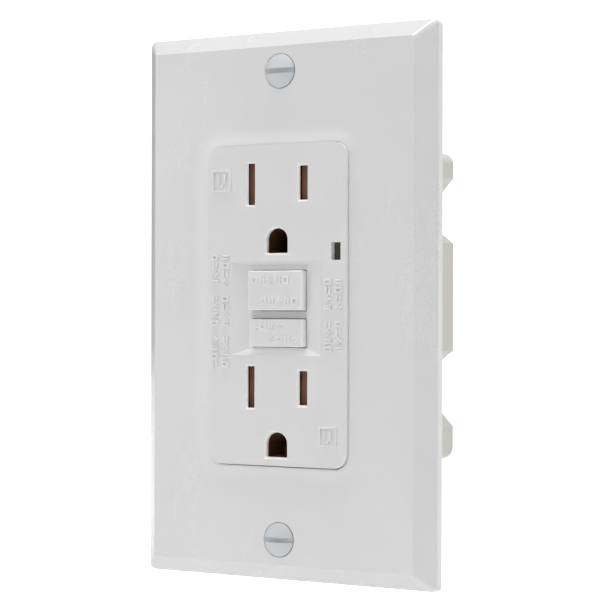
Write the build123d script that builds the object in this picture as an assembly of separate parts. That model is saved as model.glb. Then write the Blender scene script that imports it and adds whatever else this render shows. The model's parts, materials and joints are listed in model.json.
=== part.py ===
from build123d import *
import os
from math import radians, tan

# A duplex receptacle with a ground fault cut-out, its steel strap and its wall plate.
# X runs to the right as seen from the room, Y into the wall and Z up, in millimetres.
# The origin is the middle of the wall plate, on the plane of the wall.

# Fits
slide_gap = 0.15        # a plastic piece that slides in a plastic window
turn_gap = 0.04         # a shaft that turns in its hole
seat_gap = 0.1          # faces that lie one against the other
loose_gap = 0.3         # pieces that pass each other
beyond = 1.0            # how far a cutting solid reaches past the wall that it cuts

# Screws
screw_radius = 1.75     # number six machine screws
screw_slot = 1.04
screw_slot_depth = 1.1
countersink_angle = 41  # from the screw's axis, in degrees
plate_screw_spacing = 96.84
plate_screw_end = 7.0
plate_head_radius = 3.5
plate_head_rise = 0.85
device_screw_spacing = 83.34
device_screw_end = 24.0
device_head_radius = 3.2
device_head_height = 1.7
retainer_size = 8.0
retainer_thickness = 0.8

# Wall plate
plate_width = 69.85
plate_height = 114.3
plate_edge = 2.2        # straight side edge, front to back
plate_rise = 5.6        # from the wall to the flat front
plate_bevel = 3.5       # width of the sloping border
plate_corner = 1.2
plate_wall = 2.2
plate_collar = 1.8      # width of the raised edge around the opening
plate_collar_rise = 0.5
plate_boss_wall = 1.65

# Front cover
face_width = 33.4
face_height = 66.3
face_corner = 3.0
face_rise = 6.8         # from the wall to the face
face_wall = 2.2
face_side_wall = 1.8
face_gap = 0.25         # to the plate's opening
flange_thickness = 1.7
skirt_wall = 1.8

# Outlets
outlet_pitch = 42.1
upper_blade_line = 25.1
blade_offset = 6.35     # from the middle to either blade
blade_slot_width = 2.3
neutral_slot_height = 8.7
hot_slot_height = 7.2
slot_lead = 0.45        # sloping edge of the slots
ground_drop = 11.9      # from the blade line down to the ground pin
ground_hole_radius = 2.6
ground_hole_foot = 2.9  # from the pin's axis down to the flat
ground_lead = 0.36
shutter_travel = 3.0
shutter_thickness = 1.4
shutter_half_height = 5.5
shutter_left = -12.6
shutter_right = 9.4
shutter_window = 2.8    # width of a shutter's or a tray's opening
shutter_spring_radius = 0.6
tray_half_height = 5.9

# Buttons, the recess around them and the lamp
button_width = 13.0
button_edge = 0.5
button_shoulder = 0.9   # how far the hidden shoulders reach past the button
shoulder_thickness = 0.95
reset_bottom = -1.1
reset_top = 7.1
reset_rise = 1.05       # above the face
reset_travel = 2.0
test_bottom = -8.6
test_top = -2.9
test_rise = 0.65
test_stem_radius = 0.8
recess_depth = 1.2
recess_slope = 3.85     # width of each sloping side
recess_margin = 0.4     # from a button's side to the foot of the slope
recess_top = 9.0
recess_floor_top = 8.3
recess_floor_bottom = -9.0
recess_bottom = -10.3
lamp_x = 14.1
lamp_z = 10.95
lamp_width = 3.0
lamp_height = 3.9
lamp_sink = 1.6         # from the face back to the lamp's window
lamp_stem_radius = 0.95

# Mounting strap, ground clips and ground screw
strap_thickness = 1.3
strap_rear = -0.1
strap_width = 30.0
strap_end = 4.8         # from a plate screw's axis to the end of the strap
ear_width = 24.0
ear_corner = 5.0
window_margin = 0.5
finger_gap = 4.4        # between the fingers that grip the ground pin
finger_thickness = 0.6
finger_end = 9.5
rivet_x = 4.2
rivet_radius = 0.9
ground_tab_x = -10.9
ground_tab_z = -38.2
ground_tab_width = 7.4
ground_tab_depth = 11.0
ground_screw_radius = 1.95
ground_head_radius = 3.5
ground_head_height = 2.4
ground_screw_y = 5.6

# Middle housing and circuit board
housing_width = 24.0
housing_depth = 12.4
housing_flange = 2.7
housing_flange_height = 51.0
channel_width = 4.6
channel_floor = 1.1
spring_radius = 2.5
spring_wire = 0.6
spring_pocket = 4.0
test_leaf_width = 3.2
test_leaf_thickness = 0.4
test_leaf_length = 7.45  # from its bend to the button's stem
test_leaf_room = 2.5     # from the leaf's front to the pin behind it
test_pin_radius = 0.6
board_thickness = 1.6
board_wing_top = 13.2
board_wing_bottom = -9.3

# Rear case
case_width = 44.0
case_height = 66.0
case_depth = 27.2
case_floor_wall = 1.8
case_end_wall = 1.2
case_side_wall = 1.8
pocket_wall = 1.4
pocket_width = 33.6     # across the case, between the floors of two pockets
upper_pocket_bottom = 15.6
upper_pocket_top = 24.5
lower_pocket_bottom = -22.95
lower_pocket_top = -11.8
block_chamfer_x = 2.8
block_chamfer_z = 2.1
lug_chamfer_z = 3.0
lug_round = 2.6
case_screw_radius = 1.4
case_head_radius = 2.3
case_head_height = 1.5

# Terminals and contact bars
terminal_thickness = 1.1
terminal_height = 9.2
terminal_screw_radius = 2.05
terminal_head_radius = 3.7
terminal_head_height = 2.7
terminal_reach = 4.8    # from the board's back to the screws' axes
clamp_half_depth = 3.8
clamp_thickness = 1.2
clamp_travel = 2.4
wire_hole = 3.0
wire_offset = 3.4       # of a wire from the screw's axis
brass_thickness = 0.8
blade_grip = 0.65       # from the middle of a blade to the finger beside it
blade_half = 4.2
load_tab_half = 2.0
contact_tab_half = 1.5

# Contacts, latch and reset pin
arm_width = 4.0
arm_thickness = 0.6
arm_length = 14.5       # from its bend to the latch block's wing
contact_radius = 1.3
contact_thickness = 0.6
contact_offset = 2.0    # of the contacts above the wing
block_depth = 6.0
block_width = 11.0
block_half_height = 3.4
wing_half_height = 0.8
wing_thickness = 1.4
latch_thickness = 0.8
latch_width = 6.4
pin_radius = 1.0
pin_neck_radius = 0.8
pin_head_radius = 1.6

# Solenoid and sensing transformers
solenoid_height = 15.0
solenoid_width = 13.2
solenoid_plate = 1.0
bobbin_radius = 5.3
bobbin_bore = 2.15
bobbin_wall = 0.7
bobbin_flange = 0.8
plunger_radius = 2.0
plunger_collar_radius = 3.2
plunger_collar = 0.6
plunger_disc = 0.8
plunger_neck = 2.4
plunger_spring_length = 3.0
transformer_z = -22.9
transformer_radius = 8.1
drum_wall = 0.8
drum_hub = 3.3
drum_hub_wall = 0.7
core_length = 4.2

# Where the layers lie, from the room towards the wall box
strap_front = strap_rear - strap_thickness
flange_front = strap_front - flange_thickness
face_front = -face_rise
face_back = face_front + face_wall
recess_floor = face_front + recess_depth
plate_roof = -plate_rise + plate_wall
shutter_front = face_back + slide_gap
shutter_rear = shutter_front + shutter_thickness
button_rear = face_back + seat_gap + shoulder_thickness
pin_front = face_back - 0.9
housing_front = strap_rear + 2 * seat_gap
housing_rear = housing_front + housing_depth
cover_rear = housing_front + housing_flange + 2 * seat_gap
contact_base_rear = strap_rear + finger_thickness
thread_start = strap_rear + retainer_thickness + loose_gap
spring_seat = housing_front + spring_pocket
test_stem_end = housing_front + 1.8
test_leaf_front = test_stem_end + seat_gap
test_pin_front = test_leaf_front + test_leaf_room
spine_front = housing_rear - channel_floor - 1.4
spine_rear = spine_front + brass_thickness
board_front = housing_rear + seat_gap
board_rear = board_front + board_thickness
contact_meeting = board_rear + contact_thickness + seat_gap / 2
arm_front = contact_meeting + 0.65
arm_rear = arm_front + arm_thickness
block_front = arm_rear + seat_gap
latch_front = block_front + 2.0
solenoid_y = latch_front + latch_thickness + 3.0
terminal_screw_y = board_rear + terminal_reach
case_rear = cover_rear + case_depth
case_floor = case_rear - case_floor_wall
case_head_front = case_rear - case_head_height - seat_gap
line_strip_rear = case_floor - loose_gap
drum_front = board_rear + 1.4
drum_rear = line_strip_rear - brass_thickness - loose_gap - seat_gap

# Places and sizes that follow from the ones above
strap_length = plate_screw_spacing + 2 * strap_end
housing_height = case_height - 4.0
cover_width = case_width - 1.6
housing_flange_width = cover_width - 2 * skirt_wall - 2.0
board_width = housing_width - 2 * seat_gap
board_height = housing_height - 1.0
board_wing_width = case_width - 2 * case_side_wall - 1.2
face_half_width = face_width / 2 - face_side_wall
face_half_height = face_height / 2 - face_side_wall
face_inner_corner = face_corner - face_side_wall / 2
recess_floor_width = button_width + 2 * recess_margin
recess_width = recess_floor_width + 2 * recess_slope
reset_z = (reset_bottom + reset_top) / 2
test_z = (test_bottom + test_top) / 2
test_leaf_bend = test_z - test_leaf_length
blade_lines = (upper_blade_line, upper_blade_line - outlet_pitch)
ground_lines = tuple(line - ground_drop for line in blade_lines)
channel_top = blade_lines[0] + 5.5
channel_bottom = blade_lines[1] - 5.4
upper_terminal_z = (upper_pocket_bottom + upper_pocket_top) / 2
lower_terminal_z = (lower_pocket_bottom + lower_pocket_top) / 2
case_screw_x = case_width / 2 - 4.2
case_screw_z = case_height / 2 - 3.7
pocket_floor = pocket_width / 2
cavity_side = pocket_floor - pocket_wall
terminal_outer = cavity_side - seat_gap
terminal_inner = terminal_outer - terminal_thickness
contact_z = reset_z + contact_offset
arm_bend = reset_z - arm_length
arm_outer = housing_width / 2 + 0.5
arm_inner = arm_outer - arm_width
arm_x = (arm_inner + arm_outer) / 2
latch_edge = reset_z + pin_neck_radius + seat_gap / 2
plunger_foot = reset_z + block_half_height + 0.4
plunger_neck_top = plunger_foot + plunger_disc + plunger_neck
solenoid_bottom = plunger_neck_top + plunger_collar + plunger_spring_length
solenoid_top = solenoid_bottom + solenoid_height
plunger_top = solenoid_bottom + 9.4
bobbin_bottom = solenoid_bottom + solenoid_plate + seat_gap
bobbin_top = solenoid_top - solenoid_plate - seat_gap
bobbin_tube = bobbin_bore + bobbin_wall


# Simple solids, given by their limits along X, Y and Z

def block(x_limits, y_limits, z_limits):
    """A box between two limits along each axis, in any order."""
    sizes = [abs(high - low) for low, high in (x_limits, y_limits, z_limits)]
    middle = [(low + high) / 2 for low, high in (x_limits, y_limits, z_limits)]
    return Pos(*middle) * Box(*sizes)


def centred_block(width, y_limits, z_limits):
    return block((-width / 2, width / 2), y_limits, z_limits)


def side_block(side, x_limits, y_limits, z_limits):
    """A box on the right (side 1) or the left (side -1)."""
    return block([side * x for x in x_limits], y_limits, z_limits)


def around(middle, half):
    """The limits that lie the same distance either side of a middle."""
    return (middle - half, middle + half)


def past(limits):
    """Limits carried on past both ends, for a solid that cuts right through."""
    return (limits[0] - beyond, limits[1] + beyond)


def rod_x(radius, x_limits, y, z):
    length = abs(x_limits[1] - x_limits[0])
    return Pos(sum(x_limits) / 2, y, z) * Rot(0, 90, 0) * Cylinder(radius, length)


def rod_y(radius, y_limits, x=0, z=0):
    length = abs(y_limits[1] - y_limits[0])
    return Pos(x, sum(y_limits) / 2, z) * Rot(90, 0, 0) * Cylinder(radius, length)


def rod_z(radius, z_limits, x=0, y=0):
    length = abs(z_limits[1] - z_limits[0])
    return Pos(x, y, sum(z_limits) / 2) * Cylinder(radius, length)


def cone_y(front_radius, rear_radius, y_limits, x=0, z=0):
    length = y_limits[1] - y_limits[0]
    return Pos(x, sum(y_limits) / 2, z) * Rot(90, 0, 0) * Cone(rear_radius, front_radius, length)


def tube_y(outer, inner, y_limits, z):
    return rod_y(outer, y_limits, z=z) - rod_y(inner, past(y_limits), z=z)


def tube_z(outer, inner, z_limits, y):
    return rod_z(outer, z_limits, y=y) - rod_z(inner, past(z_limits), y=y)


def through(outline, y_limits):
    """An outline drawn in X and Z, extruded between two limits along Y."""
    return extrude(Plane.XZ.offset(-y_limits[1]) * outline, y_limits[1] - y_limits[0])


def tapered(front_outline, rear_outline, y_limits):
    """A solid with flat sloping sides between two outlines."""
    ends = [
        Plane.XZ.offset(-y_limits[0]) * front_outline,
        Plane.XZ.offset(-y_limits[1]) * rear_outline,
    ]
    return loft(ends, ruled=True)


def group(solids):
    return Compound(children=list(solids))


def both_ways(distance):
    return (-distance, distance)


# Wall plate and its screws

def plate_form(inset, edge, rise):
    """The plate's outer form, or the same form drawn in by a wall."""
    width = plate_width - 2 * inset
    height = plate_height - 2 * inset
    foot = RectangleRounded(width, height, plate_corner)
    top = RectangleRounded(width - 2 * plate_bevel, height - 2 * plate_bevel, plate_corner / 2)
    return through(foot, (-edge, 0)) + tapered(top, foot, (-rise, -edge))


def countersink(gap, z):
    """The cone under a screw's head, or the seat cut for it."""
    depth = (plate_head_radius - screw_radius) / tan(radians(countersink_angle))
    y_limits = (-plate_rise, -plate_rise + depth)
    return cone_y(plate_head_radius + gap, screw_radius + gap, y_limits, z=z)


def wall_plate():
    opening_width = face_width + 2 * face_gap
    opening_height = face_height + 2 * face_gap
    opening_corner = face_corner + face_gap
    opening = RectangleRounded(opening_width, opening_height, opening_corner)
    collar = RectangleRounded(
        opening_width + 2 * plate_collar, opening_height + 2 * plate_collar, opening_corner + plate_collar
    )
    collar_front = -plate_rise - plate_collar_rise
    body = plate_form(0, plate_edge, plate_rise)
    body -= plate_form(plate_wall, plate_edge - plate_wall / 2, plate_rise - plate_wall)
    body += through(collar, (collar_front, plate_roof))
    body -= through(opening, past((collar_front, 0)))
    for z in both_ways(plate_screw_spacing / 2):
        boss_end = strap_front - seat_gap / 2
        body += rod_y(screw_radius + plate_boss_wall, (plate_roof - seat_gap, boss_end), z=z)
        body -= rod_y(screw_radius + 2 * seat_gap, past((-plate_rise, boss_end)), z=z)
        body -= countersink(slide_gap, z)
    return body


def plate_screw(z):
    """An oval-headed screw with a straight slot."""
    front = -plate_rise - plate_head_rise
    crown = (plate_head_radius**2 + plate_head_rise**2) / (2 * plate_head_rise)
    head = rod_y(plate_head_radius, (front, -plate_rise), z=z)
    head &= Pos(0, front + crown, z) * Sphere(crown)
    screw = head + countersink(0, z) + rod_y(screw_radius, (-plate_rise + 1, plate_screw_end), z=z)
    slot_y = (front - beyond, front + screw_slot_depth)
    return screw - centred_block(4 * plate_head_radius, slot_y, around(z, screw_slot / 2))


def plate_screws():
    return group(plate_screw(z) for z in both_ways(plate_screw_spacing / 2))


# Front cover

def blade_slot(x, z, height):
    """A blade slot with sloping edges."""
    throat = centred_block(blade_slot_width, past((face_front, face_back)), around(z, height / 2))
    mouth = Rectangle(blade_slot_width + 2 * slot_lead, height + 2 * slot_lead)
    foot = Rectangle(blade_slot_width, height)
    lead = Pos(0, 0, z) * tapered(mouth, foot, (face_front, face_front + slot_lead))
    return Pos(x, 0, 0) * (throat + lead)


def ground_outline(grow):
    """Round above and flat below, centred on the pin's axis."""
    radius = ground_hole_radius + grow
    foot = ground_hole_foot + grow
    return Circle(radius) + Pos(0, -foot / 2) * Rectangle(2 * radius, foot)


def ground_hole(z):
    throat = through(ground_outline(0), past((face_front, face_back)))
    mouth = through(ground_outline(ground_lead), (face_front - beyond, face_front + slot_lead / 2))
    return Pos(0, 0, z) * (throat + mouth)


def button_recess():
    """A sunken place whose four sides slope to its floor."""
    mouth = Rectangle(recess_width, recess_top - recess_bottom)
    floor = Rectangle(recess_floor_width, recess_floor_top - recess_floor_bottom)
    mouth = Pos(0, (recess_top + recess_bottom) / 2) * mouth
    floor = Pos(0, (recess_floor_top + recess_floor_bottom) / 2) * floor
    return tapered(mouth, floor, (face_front, recess_floor))


def button_window(bottom, top):
    width = button_width + 2 * slide_gap
    return centred_block(width, past((face_front, face_back)), (bottom - slide_gap, top + slide_gap))


def cover_skirts():
    """The cover's two long sides, which run back to the rear case."""
    z_limits = both_ways(face_height / 2 - face_corner)
    x_limits = (cover_width / 2 - skirt_wall, cover_width / 2)
    return [side_block(side, x_limits, (strap_front, cover_rear), z_limits) for side in (-1, 1)]


def front_cover():
    face = RectangleRounded(face_width, face_height, face_corner)
    inside = RectangleRounded(2 * face_half_width, 2 * face_half_height, face_inner_corner)
    flange = RectangleRounded(cover_width, face_height, face_corner)
    body = through(face, (face_front, flange_front)) + through(flange, (flange_front, strap_front))
    for skirt in cover_skirts():
        body += skirt
    for x in both_ways(case_screw_x):
        for z in both_ways(case_screw_z):
            body += rod_y(case_screw_radius + 1, (strap_front, cover_rear), x, z)
            body -= rod_y(case_screw_radius, (strap_front + 0.8, cover_rear + beyond), x, z)
    body -= through(inside, (face_back, strap_front + beyond))
    body -= button_recess()
    body -= button_window(reset_bottom, reset_top)
    body -= button_window(test_bottom, test_top)
    for line, ground in zip(blade_lines, ground_lines):
        body -= blade_slot(-blade_offset, line, neutral_slot_height)
        body -= blade_slot(blade_offset, line, hot_slot_height)
        body -= ground_hole(ground)
    lamp = Pos(lamp_x, lamp_z) * Rectangle(lamp_width, lamp_height)
    return body - through(lamp, past((face_front, face_back)))


# Buttons, lamp and shutters

def button(bottom, top, rise):
    """A cap with soft edges and hidden shoulders that stop it from falling out."""
    cap = centred_block(button_width, (face_front - rise, button_rear), (bottom, top))
    cap = fillet(cap.faces().sort_by(Axis.Y)[0].edges(), button_edge)
    shoulder_width = button_width + 2 * button_shoulder
    return cap + centred_block(shoulder_width, (face_back + seat_gap, button_rear), (bottom, top))


def reset_button():
    socket = rod_y(pin_radius, (pin_front, button_rear + beyond), z=reset_z)
    return button(reset_bottom, reset_top, reset_rise) - socket


def test_button():
    stem = rod_y(test_stem_radius, (face_back + seat_gap, test_stem_end), z=test_z)
    return button(test_bottom, test_top, test_rise) + stem


guide_x = (lamp_x - lamp_width / 2 + seat_gap, face_half_width - seat_gap)
guide_middle = sum(guide_x) / 2


def indicator_light_pipe():
    """A clear plug in the face, with a guide that runs back to the lamp on the board."""
    plug_x = around(lamp_x, lamp_width / 2 - seat_gap / 2)
    plug_z = around(lamp_z, lamp_height / 2 - seat_gap / 2)
    plug = block(plug_x, (face_front + lamp_sink, face_back), plug_z)
    guide_z = around(lamp_z, lamp_height / 3)
    return plug + block(guide_x, (face_back - seat_gap, board_front - 1.4), guide_z)


def indicator_led():
    lens = rod_y(lamp_stem_radius, (board_front - 1.3, board_front - 0.5), guide_middle, lamp_z)
    base = block(around(guide_middle, 1.1), (board_front - 0.5, board_front), around(lamp_z, 1.3))
    return lens + base


def blade_windows(line, shift):
    """Room for both blades, moved to the left by a shift."""
    y_limits = past((shutter_front, strap_front))
    z_limits = around(line, neutral_slot_height / 2 + slot_lead)
    return [
        block(around(x - shift, shutter_window / 2), y_limits, z_limits)
        for x in both_ways(blade_offset)
    ]


def shutter(line):
    """A plate that covers both slots until it slides to the right."""
    z_limits = around(line, shutter_half_height)
    body = block((shutter_left, shutter_right), (shutter_front, shutter_rear), z_limits)
    for window in blade_windows(line, shutter_travel):
        body -= window
    return body


def shutter_spring(line):
    """The round outer form of the spring between a shutter and the cover's side."""
    middle = (shutter_front + shutter_rear) / 2
    return rod_x(shutter_spring_radius, (shutter_right, face_half_width), middle, line)


def shutter_tray(line):
    """The plate behind a shutter, with a slot for each blade."""
    outline = RectangleRounded(2 * (face_half_width - loose_gap), 2 * tray_half_height, face_inner_corner)
    body = through(Pos(0, line) * outline, (shutter_rear + seat_gap, strap_front - seat_gap))
    for window in blade_windows(line, 0):
        body -= window
    return body


# Mounting strap with its screws, ground clips and ground screw

def strap_windows():
    """The openings in the strap for the blades, the pins, the buttons and the lamp."""
    y_limits = past((strap_front, strap_rear))
    button_half = button_width / 2 + button_shoulder + window_margin
    windows = [block(both_ways(button_half), y_limits, (recess_bottom + window_margin, recess_top))]
    for line, ground in zip(blade_lines, ground_lines):
        windows.append(block(both_ways(blade_offset + 3.6), y_limits, around(line, 5.0)))
        pin_x = both_ways(ground_hole_radius + loose_gap)
        windows.append(block(pin_x, y_limits, around(ground - 0.15, 3.15)))
    notch_x = (lamp_x - lamp_width / 2 - loose_gap, strap_width)
    windows.append(block(notch_x, y_limits, around(lamp_z, lamp_height / 2 + window_margin)))
    return windows


def ground_tab():
    """A tab bent back from the strap, tapped for the ground screw."""
    x_limits = (ground_tab_x, ground_tab_x + strap_thickness)
    tab = block(x_limits, (strap_front, ground_tab_depth), around(ground_tab_z, ground_tab_width / 2))
    return tab - rod_x(ground_screw_radius + turn_gap, past(x_limits), ground_screw_y, ground_tab_z)


def mounting_strap():
    y_limits = (strap_front, strap_rear)
    body = through(RectangleRounded(ear_width, strap_length, ear_corner), y_limits)
    body += centred_block(strap_width, y_limits, both_ways(face_height / 2 + 1))
    for window in strap_windows():
        body -= window
    for ground in ground_lines:
        for x in both_ways(rivet_x):
            body -= rod_y(rivet_radius, past(y_limits), x, ground)
    for z in both_ways(plate_screw_spacing / 2):
        body -= rod_y(screw_radius, past(y_limits), z=z)
    for z in both_ways(device_screw_spacing / 2):
        body -= through(Pos(0, z) * SlotOverall(7.0, 2 * (screw_radius + loose_gap)), past(y_limits))
    return body + ground_tab()


def device_screw(z):
    """The long screw that holds the strap to the wall box."""
    head_front = strap_front - device_head_height
    head = rod_y(device_head_radius, (head_front, strap_front), z=z)
    head = fillet(head.faces().sort_by(Axis.Y)[0].edges(), device_head_height * 0.4)
    slot_y = (head_front - beyond, head_front + screw_slot_depth)
    head -= centred_block(4 * device_head_radius, slot_y, around(z, screw_slot / 2))
    neck = rod_y(screw_radius - seat_gap / 2, (strap_front, thread_start), z=z)
    return head + neck + rod_y(screw_radius, (thread_start, device_screw_end), z=z)


def device_screws():
    return group(device_screw(z) for z in both_ways(device_screw_spacing / 2))


def screw_retainer(z):
    """A fibre washer that keeps the long screw in the strap."""
    y_limits = (strap_rear, strap_rear + retainer_thickness)
    washer = centred_block(retainer_size, y_limits, around(z, retainer_size / 2))
    return washer - rod_y(screw_radius - seat_gap / 2, past(y_limits), z=z)


def screw_retainers():
    return group(screw_retainer(z) for z in both_ways(device_screw_spacing / 2))


def ground_contact(z):
    """A spring clip with a finger on each side of the ground pin."""
    base_y = (strap_rear, contact_base_rear)
    clip = centred_block(11.0, base_y, (z - 3.8, z + 3.6))
    clip -= centred_block(finger_gap, past(base_y), (z - 3.2, z + ground_hole_radius))
    finger_x = (finger_gap / 2, finger_gap / 2 + finger_thickness)
    for side in (-1, 1):
        clip += side_block(side, finger_x, (strap_rear, finger_end), around(z, 2.4))
        clip -= rod_y(rivet_radius, past(base_y), side * rivet_x, z)
    return clip


def rivet(x, z):
    shank = rod_y(rivet_radius, (strap_front, contact_base_rear), x, z)
    head = rod_y(rivet_radius + 0.6, (strap_front - 0.6, strap_front), x, z)
    tail = rod_y(rivet_radius + 0.4, (contact_base_rear, contact_base_rear + 0.35), x, z)
    return shank + head + tail


def contact_rivets():
    return group(rivet(x, z) for z in ground_lines for x in both_ways(rivet_x))


def binding_screw(side, head_x, y, z, shank_end, radius, head_radius, head_height):
    """A screw along X whose slotted head faces outwards."""
    head_end = head_x + head_height
    head = rod_x(head_radius, (head_x, head_end), y, z)
    head = fillet(head.faces().sort_by(Axis.X)[-1].edges(), head_height / 4)
    slot_x = (head_end - screw_slot_depth, head_end + beyond)
    head -= block(slot_x, around(y, screw_slot / 2), around(z, 2 * head_radius))
    screw = head + rod_x(radius, (shank_end, head_x), y, z)
    return screw if side > 0 else mirror(screw, Plane.YZ)


def ground_screw():
    head_x = seat_gap - ground_tab_x
    shank_end = head_x - strap_thickness - 4.0
    sizes = (ground_screw_radius, ground_head_radius, ground_head_height)
    return binding_screw(-1, head_x, ground_screw_y, ground_tab_z, shank_end, *sizes)


# Middle housing and the test contact

def contact_room(side):
    """The channel for one contact bar, and the notches where its tabs come out."""
    channel_x = around(blade_offset, channel_width / 2)
    channel_y = (housing_front - beyond, housing_rear - channel_floor)
    room = side_block(side, channel_x, channel_y, (channel_bottom, channel_top))
    notch_y = (spine_front - 2 * seat_gap, housing_rear + beyond)
    for z, half in ((upper_terminal_z, load_tab_half), (contact_z, contact_tab_half)):
        notch_z = around(z, half + loose_gap)
        room += side_block(side, (blade_offset, housing_width), notch_y, notch_z)
    return room


def ground_room(z):
    """The well around a ground clip's fingers and the shallow seat for its base."""
    well_y = (housing_front - beyond, finger_end + beyond)
    well = centred_block(finger_gap + 2.2, well_y, (z - 3.6, z + 3.4))
    seat_y = (housing_front - beyond, contact_base_rear + 0.5)
    return well + centred_block(11.4, seat_y, (z - 4.0, z + 3.8))


def test_room():
    """The pocket for the test leaf, shallow at its foot, and the hole for the pin behind it."""
    front = housing_front - beyond
    step_z = test_leaf_bend + 0.4
    foot_rear = test_leaf_front + test_leaf_thickness + slide_gap
    width = test_leaf_width + 2.8
    room = centred_block(width, (front, test_pin_front + 0.5), (step_z, test_z + 2.0))
    room += centred_block(width, (front, foot_rear), (test_leaf_bend - 1.0, step_z))
    return room + rod_y(test_pin_radius, (front, housing_rear + beyond), z=test_z)


def middle_housing():
    body_y = (housing_front, housing_rear)
    flange_y = (housing_front, housing_front + housing_flange)
    body = centred_block(housing_width, body_y, both_ways(housing_height / 2))
    body += centred_block(housing_flange_width, flange_y, both_ways(housing_flange_height / 2))
    for side in (-1, 1):
        body -= contact_room(side)
    for ground in ground_lines:
        body -= ground_room(ground)
    body -= test_room()
    body -= rod_y(spring_radius + loose_gap, (housing_front - beyond, spring_seat), z=reset_z)
    body -= rod_y(pin_radius + slide_gap, past(body_y), z=reset_z)
    guide_room = (guide_x[0] - loose_gap, guide_x[1] + loose_gap)
    return body - block(guide_room, past(flange_y), around(lamp_z, lamp_height / 2))


def test_contact():
    """A springy leaf that the test button presses onto its pin."""
    y_limits = (test_leaf_front, test_leaf_front + test_leaf_thickness)
    return centred_block(test_leaf_width, y_limits, (test_leaf_bend - 0.8, test_z + 1.2))


def test_pin():
    return rod_y(test_pin_radius, (test_pin_front, board_front), z=test_z)


def reset_spring():
    """The round outer form of the spring under the reset button."""
    return tube_y(spring_radius, spring_radius - spring_wire, (button_rear, spring_seat), reset_z)


# Contact bars, arms and terminals

def contact_bar(side):
    """Fingers for both outlets on one strip, with a tab to the load terminal and a fixed contact."""
    inner = (blade_offset - blade_grip - finger_thickness, blade_offset - blade_grip)
    outer = (blade_offset + blade_grip, blade_offset + blade_grip + finger_thickness)
    spine_y = (spine_front, spine_rear)
    spine_z = (blade_lines[1] - blade_half, blade_lines[0] + blade_half)
    bar = side_block(side, (inner[0], outer[1]), spine_y, spine_z)
    for line in blade_lines:
        for finger_x in (inner, outer):
            bar += side_block(side, finger_x, (housing_front + 1.9, spine_front), around(line, blade_half))
    load_z = around(upper_terminal_z, load_tab_half)
    bar += side_block(side, (inner[0], terminal_inner), spine_y, load_z)
    tab_z = around(contact_z, contact_tab_half)
    post_x = (arm_outer - 1.1, arm_outer - loose_gap)
    bar += side_block(side, (inner[0], post_x[1]), spine_y, tab_z)
    bar += side_block(side, post_x, (spine_front, board_rear), tab_z)
    seat_x = (arm_x - 1.6, post_x[1])
    return bar + side_block(side, seat_x, (board_rear - brass_thickness, board_rear), tab_z)


def fixed_contacts():
    y_limits = (board_rear, board_rear + contact_thickness)
    return group(rod_y(contact_radius, y_limits, x, contact_z) for x in both_ways(arm_x))


def contact_arm(side):
    """A spring arm with a round silver contact near its free end."""
    z_limits = (arm_bend - arm_thickness, contact_z + 1.6)
    arm = side_block(side, (arm_inner, arm_outer), (arm_front, arm_rear), z_limits)
    return arm + rod_y(contact_radius, (contact_meeting, arm_front), side * arm_x, contact_z)


def tapped_hole(side, z, x_limits):
    radius = terminal_screw_radius + turn_gap
    return rod_x(radius, [side * x for x in past(x_limits)], terminal_screw_y, z)


def load_terminal(side):
    """A plate that the contact bar's tab rests on."""
    plate_x = (terminal_inner, terminal_outer)
    plate_y = (spine_front - 0.4, terminal_screw_y + 5.0)
    plate = side_block(side, plate_x, plate_y, around(upper_terminal_z, terminal_height / 2))
    return plate - tapped_hole(side, upper_terminal_z, plate_x)


def line_terminal(side):
    """A plate with a strip that runs inwards and then forwards through the transformers."""
    plate_x = (terminal_inner, terminal_outer)
    strip_z = (transformer_z - 1.0, transformer_z + 0.4)
    strip_y = (line_strip_rear - brass_thickness, line_strip_rear)
    plate_z = (strip_z[0], lower_terminal_z + terminal_height / 2)
    plate = side_block(side, plate_x, (terminal_screw_y - 4.0, line_strip_rear), plate_z)
    plate += side_block(side, (0.7, terminal_outer), strip_y, strip_z)
    plate += side_block(side, (0.7, 2.0), (board_rear, line_strip_rear), around(transformer_z, 1.0))
    return plate - tapped_hole(side, lower_terminal_z, plate_x)


def terminal_screw(side, z):
    shank_end = terminal_inner - seat_gap - clamp_thickness - clamp_travel - 0.4
    sizes = (terminal_screw_radius, terminal_head_radius, terminal_head_height)
    return binding_screw(side, pocket_floor + seat_gap, terminal_screw_y, z, shank_end, *sizes)


def clamp_plate(side, z):
    """The plate that the screw draws outwards to grip the wires."""
    plate_x = (terminal_inner - seat_gap - clamp_thickness, terminal_inner - seat_gap)
    plate_y = around(terminal_screw_y, clamp_half_depth)
    plate = side_block(side, plate_x, plate_y, around(z, terminal_height / 2))
    return plate - tapped_hole(side, z, plate_x)


# Rear case

def case_half_outline():
    """Right half of the case's outline, from the bottom to the top."""
    half_width = case_width / 2
    half_height = case_height / 2
    shoulder = half_width - block_chamfer_x
    return [
        (0, -half_height),
        (half_width, -half_height),
        (half_width, lower_pocket_bottom - lug_chamfer_z),
        (shoulder, lower_pocket_bottom),
        (pocket_floor, lower_pocket_bottom),
        (pocket_floor, lower_pocket_top),
        (shoulder, lower_pocket_top),
        (half_width, lower_pocket_top + block_chamfer_z),
        (half_width, upper_pocket_bottom - block_chamfer_z),
        (shoulder, upper_pocket_bottom),
        (pocket_floor, upper_pocket_bottom),
        (pocket_floor, upper_pocket_top),
        (shoulder, upper_pocket_top),
        (half_width, upper_pocket_top + lug_chamfer_z),
        (half_width, half_height),
        (0, half_height),
    ]


def case_shell():
    """The case's outer form, with the four corners rounded."""
    right = case_half_outline()
    left = [(-x, z) for x, z in reversed(right[1:-1])]
    outline = Polygon(*right, *left, align=None)
    outline = fillet(outline.vertices().filter_by(is_outer_corner), lug_round)
    return through(outline, (cover_rear, case_rear))


def is_outer_corner(vertex):
    return abs(vertex.X) == case_width / 2 and abs(vertex.Y) == case_height / 2


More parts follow.
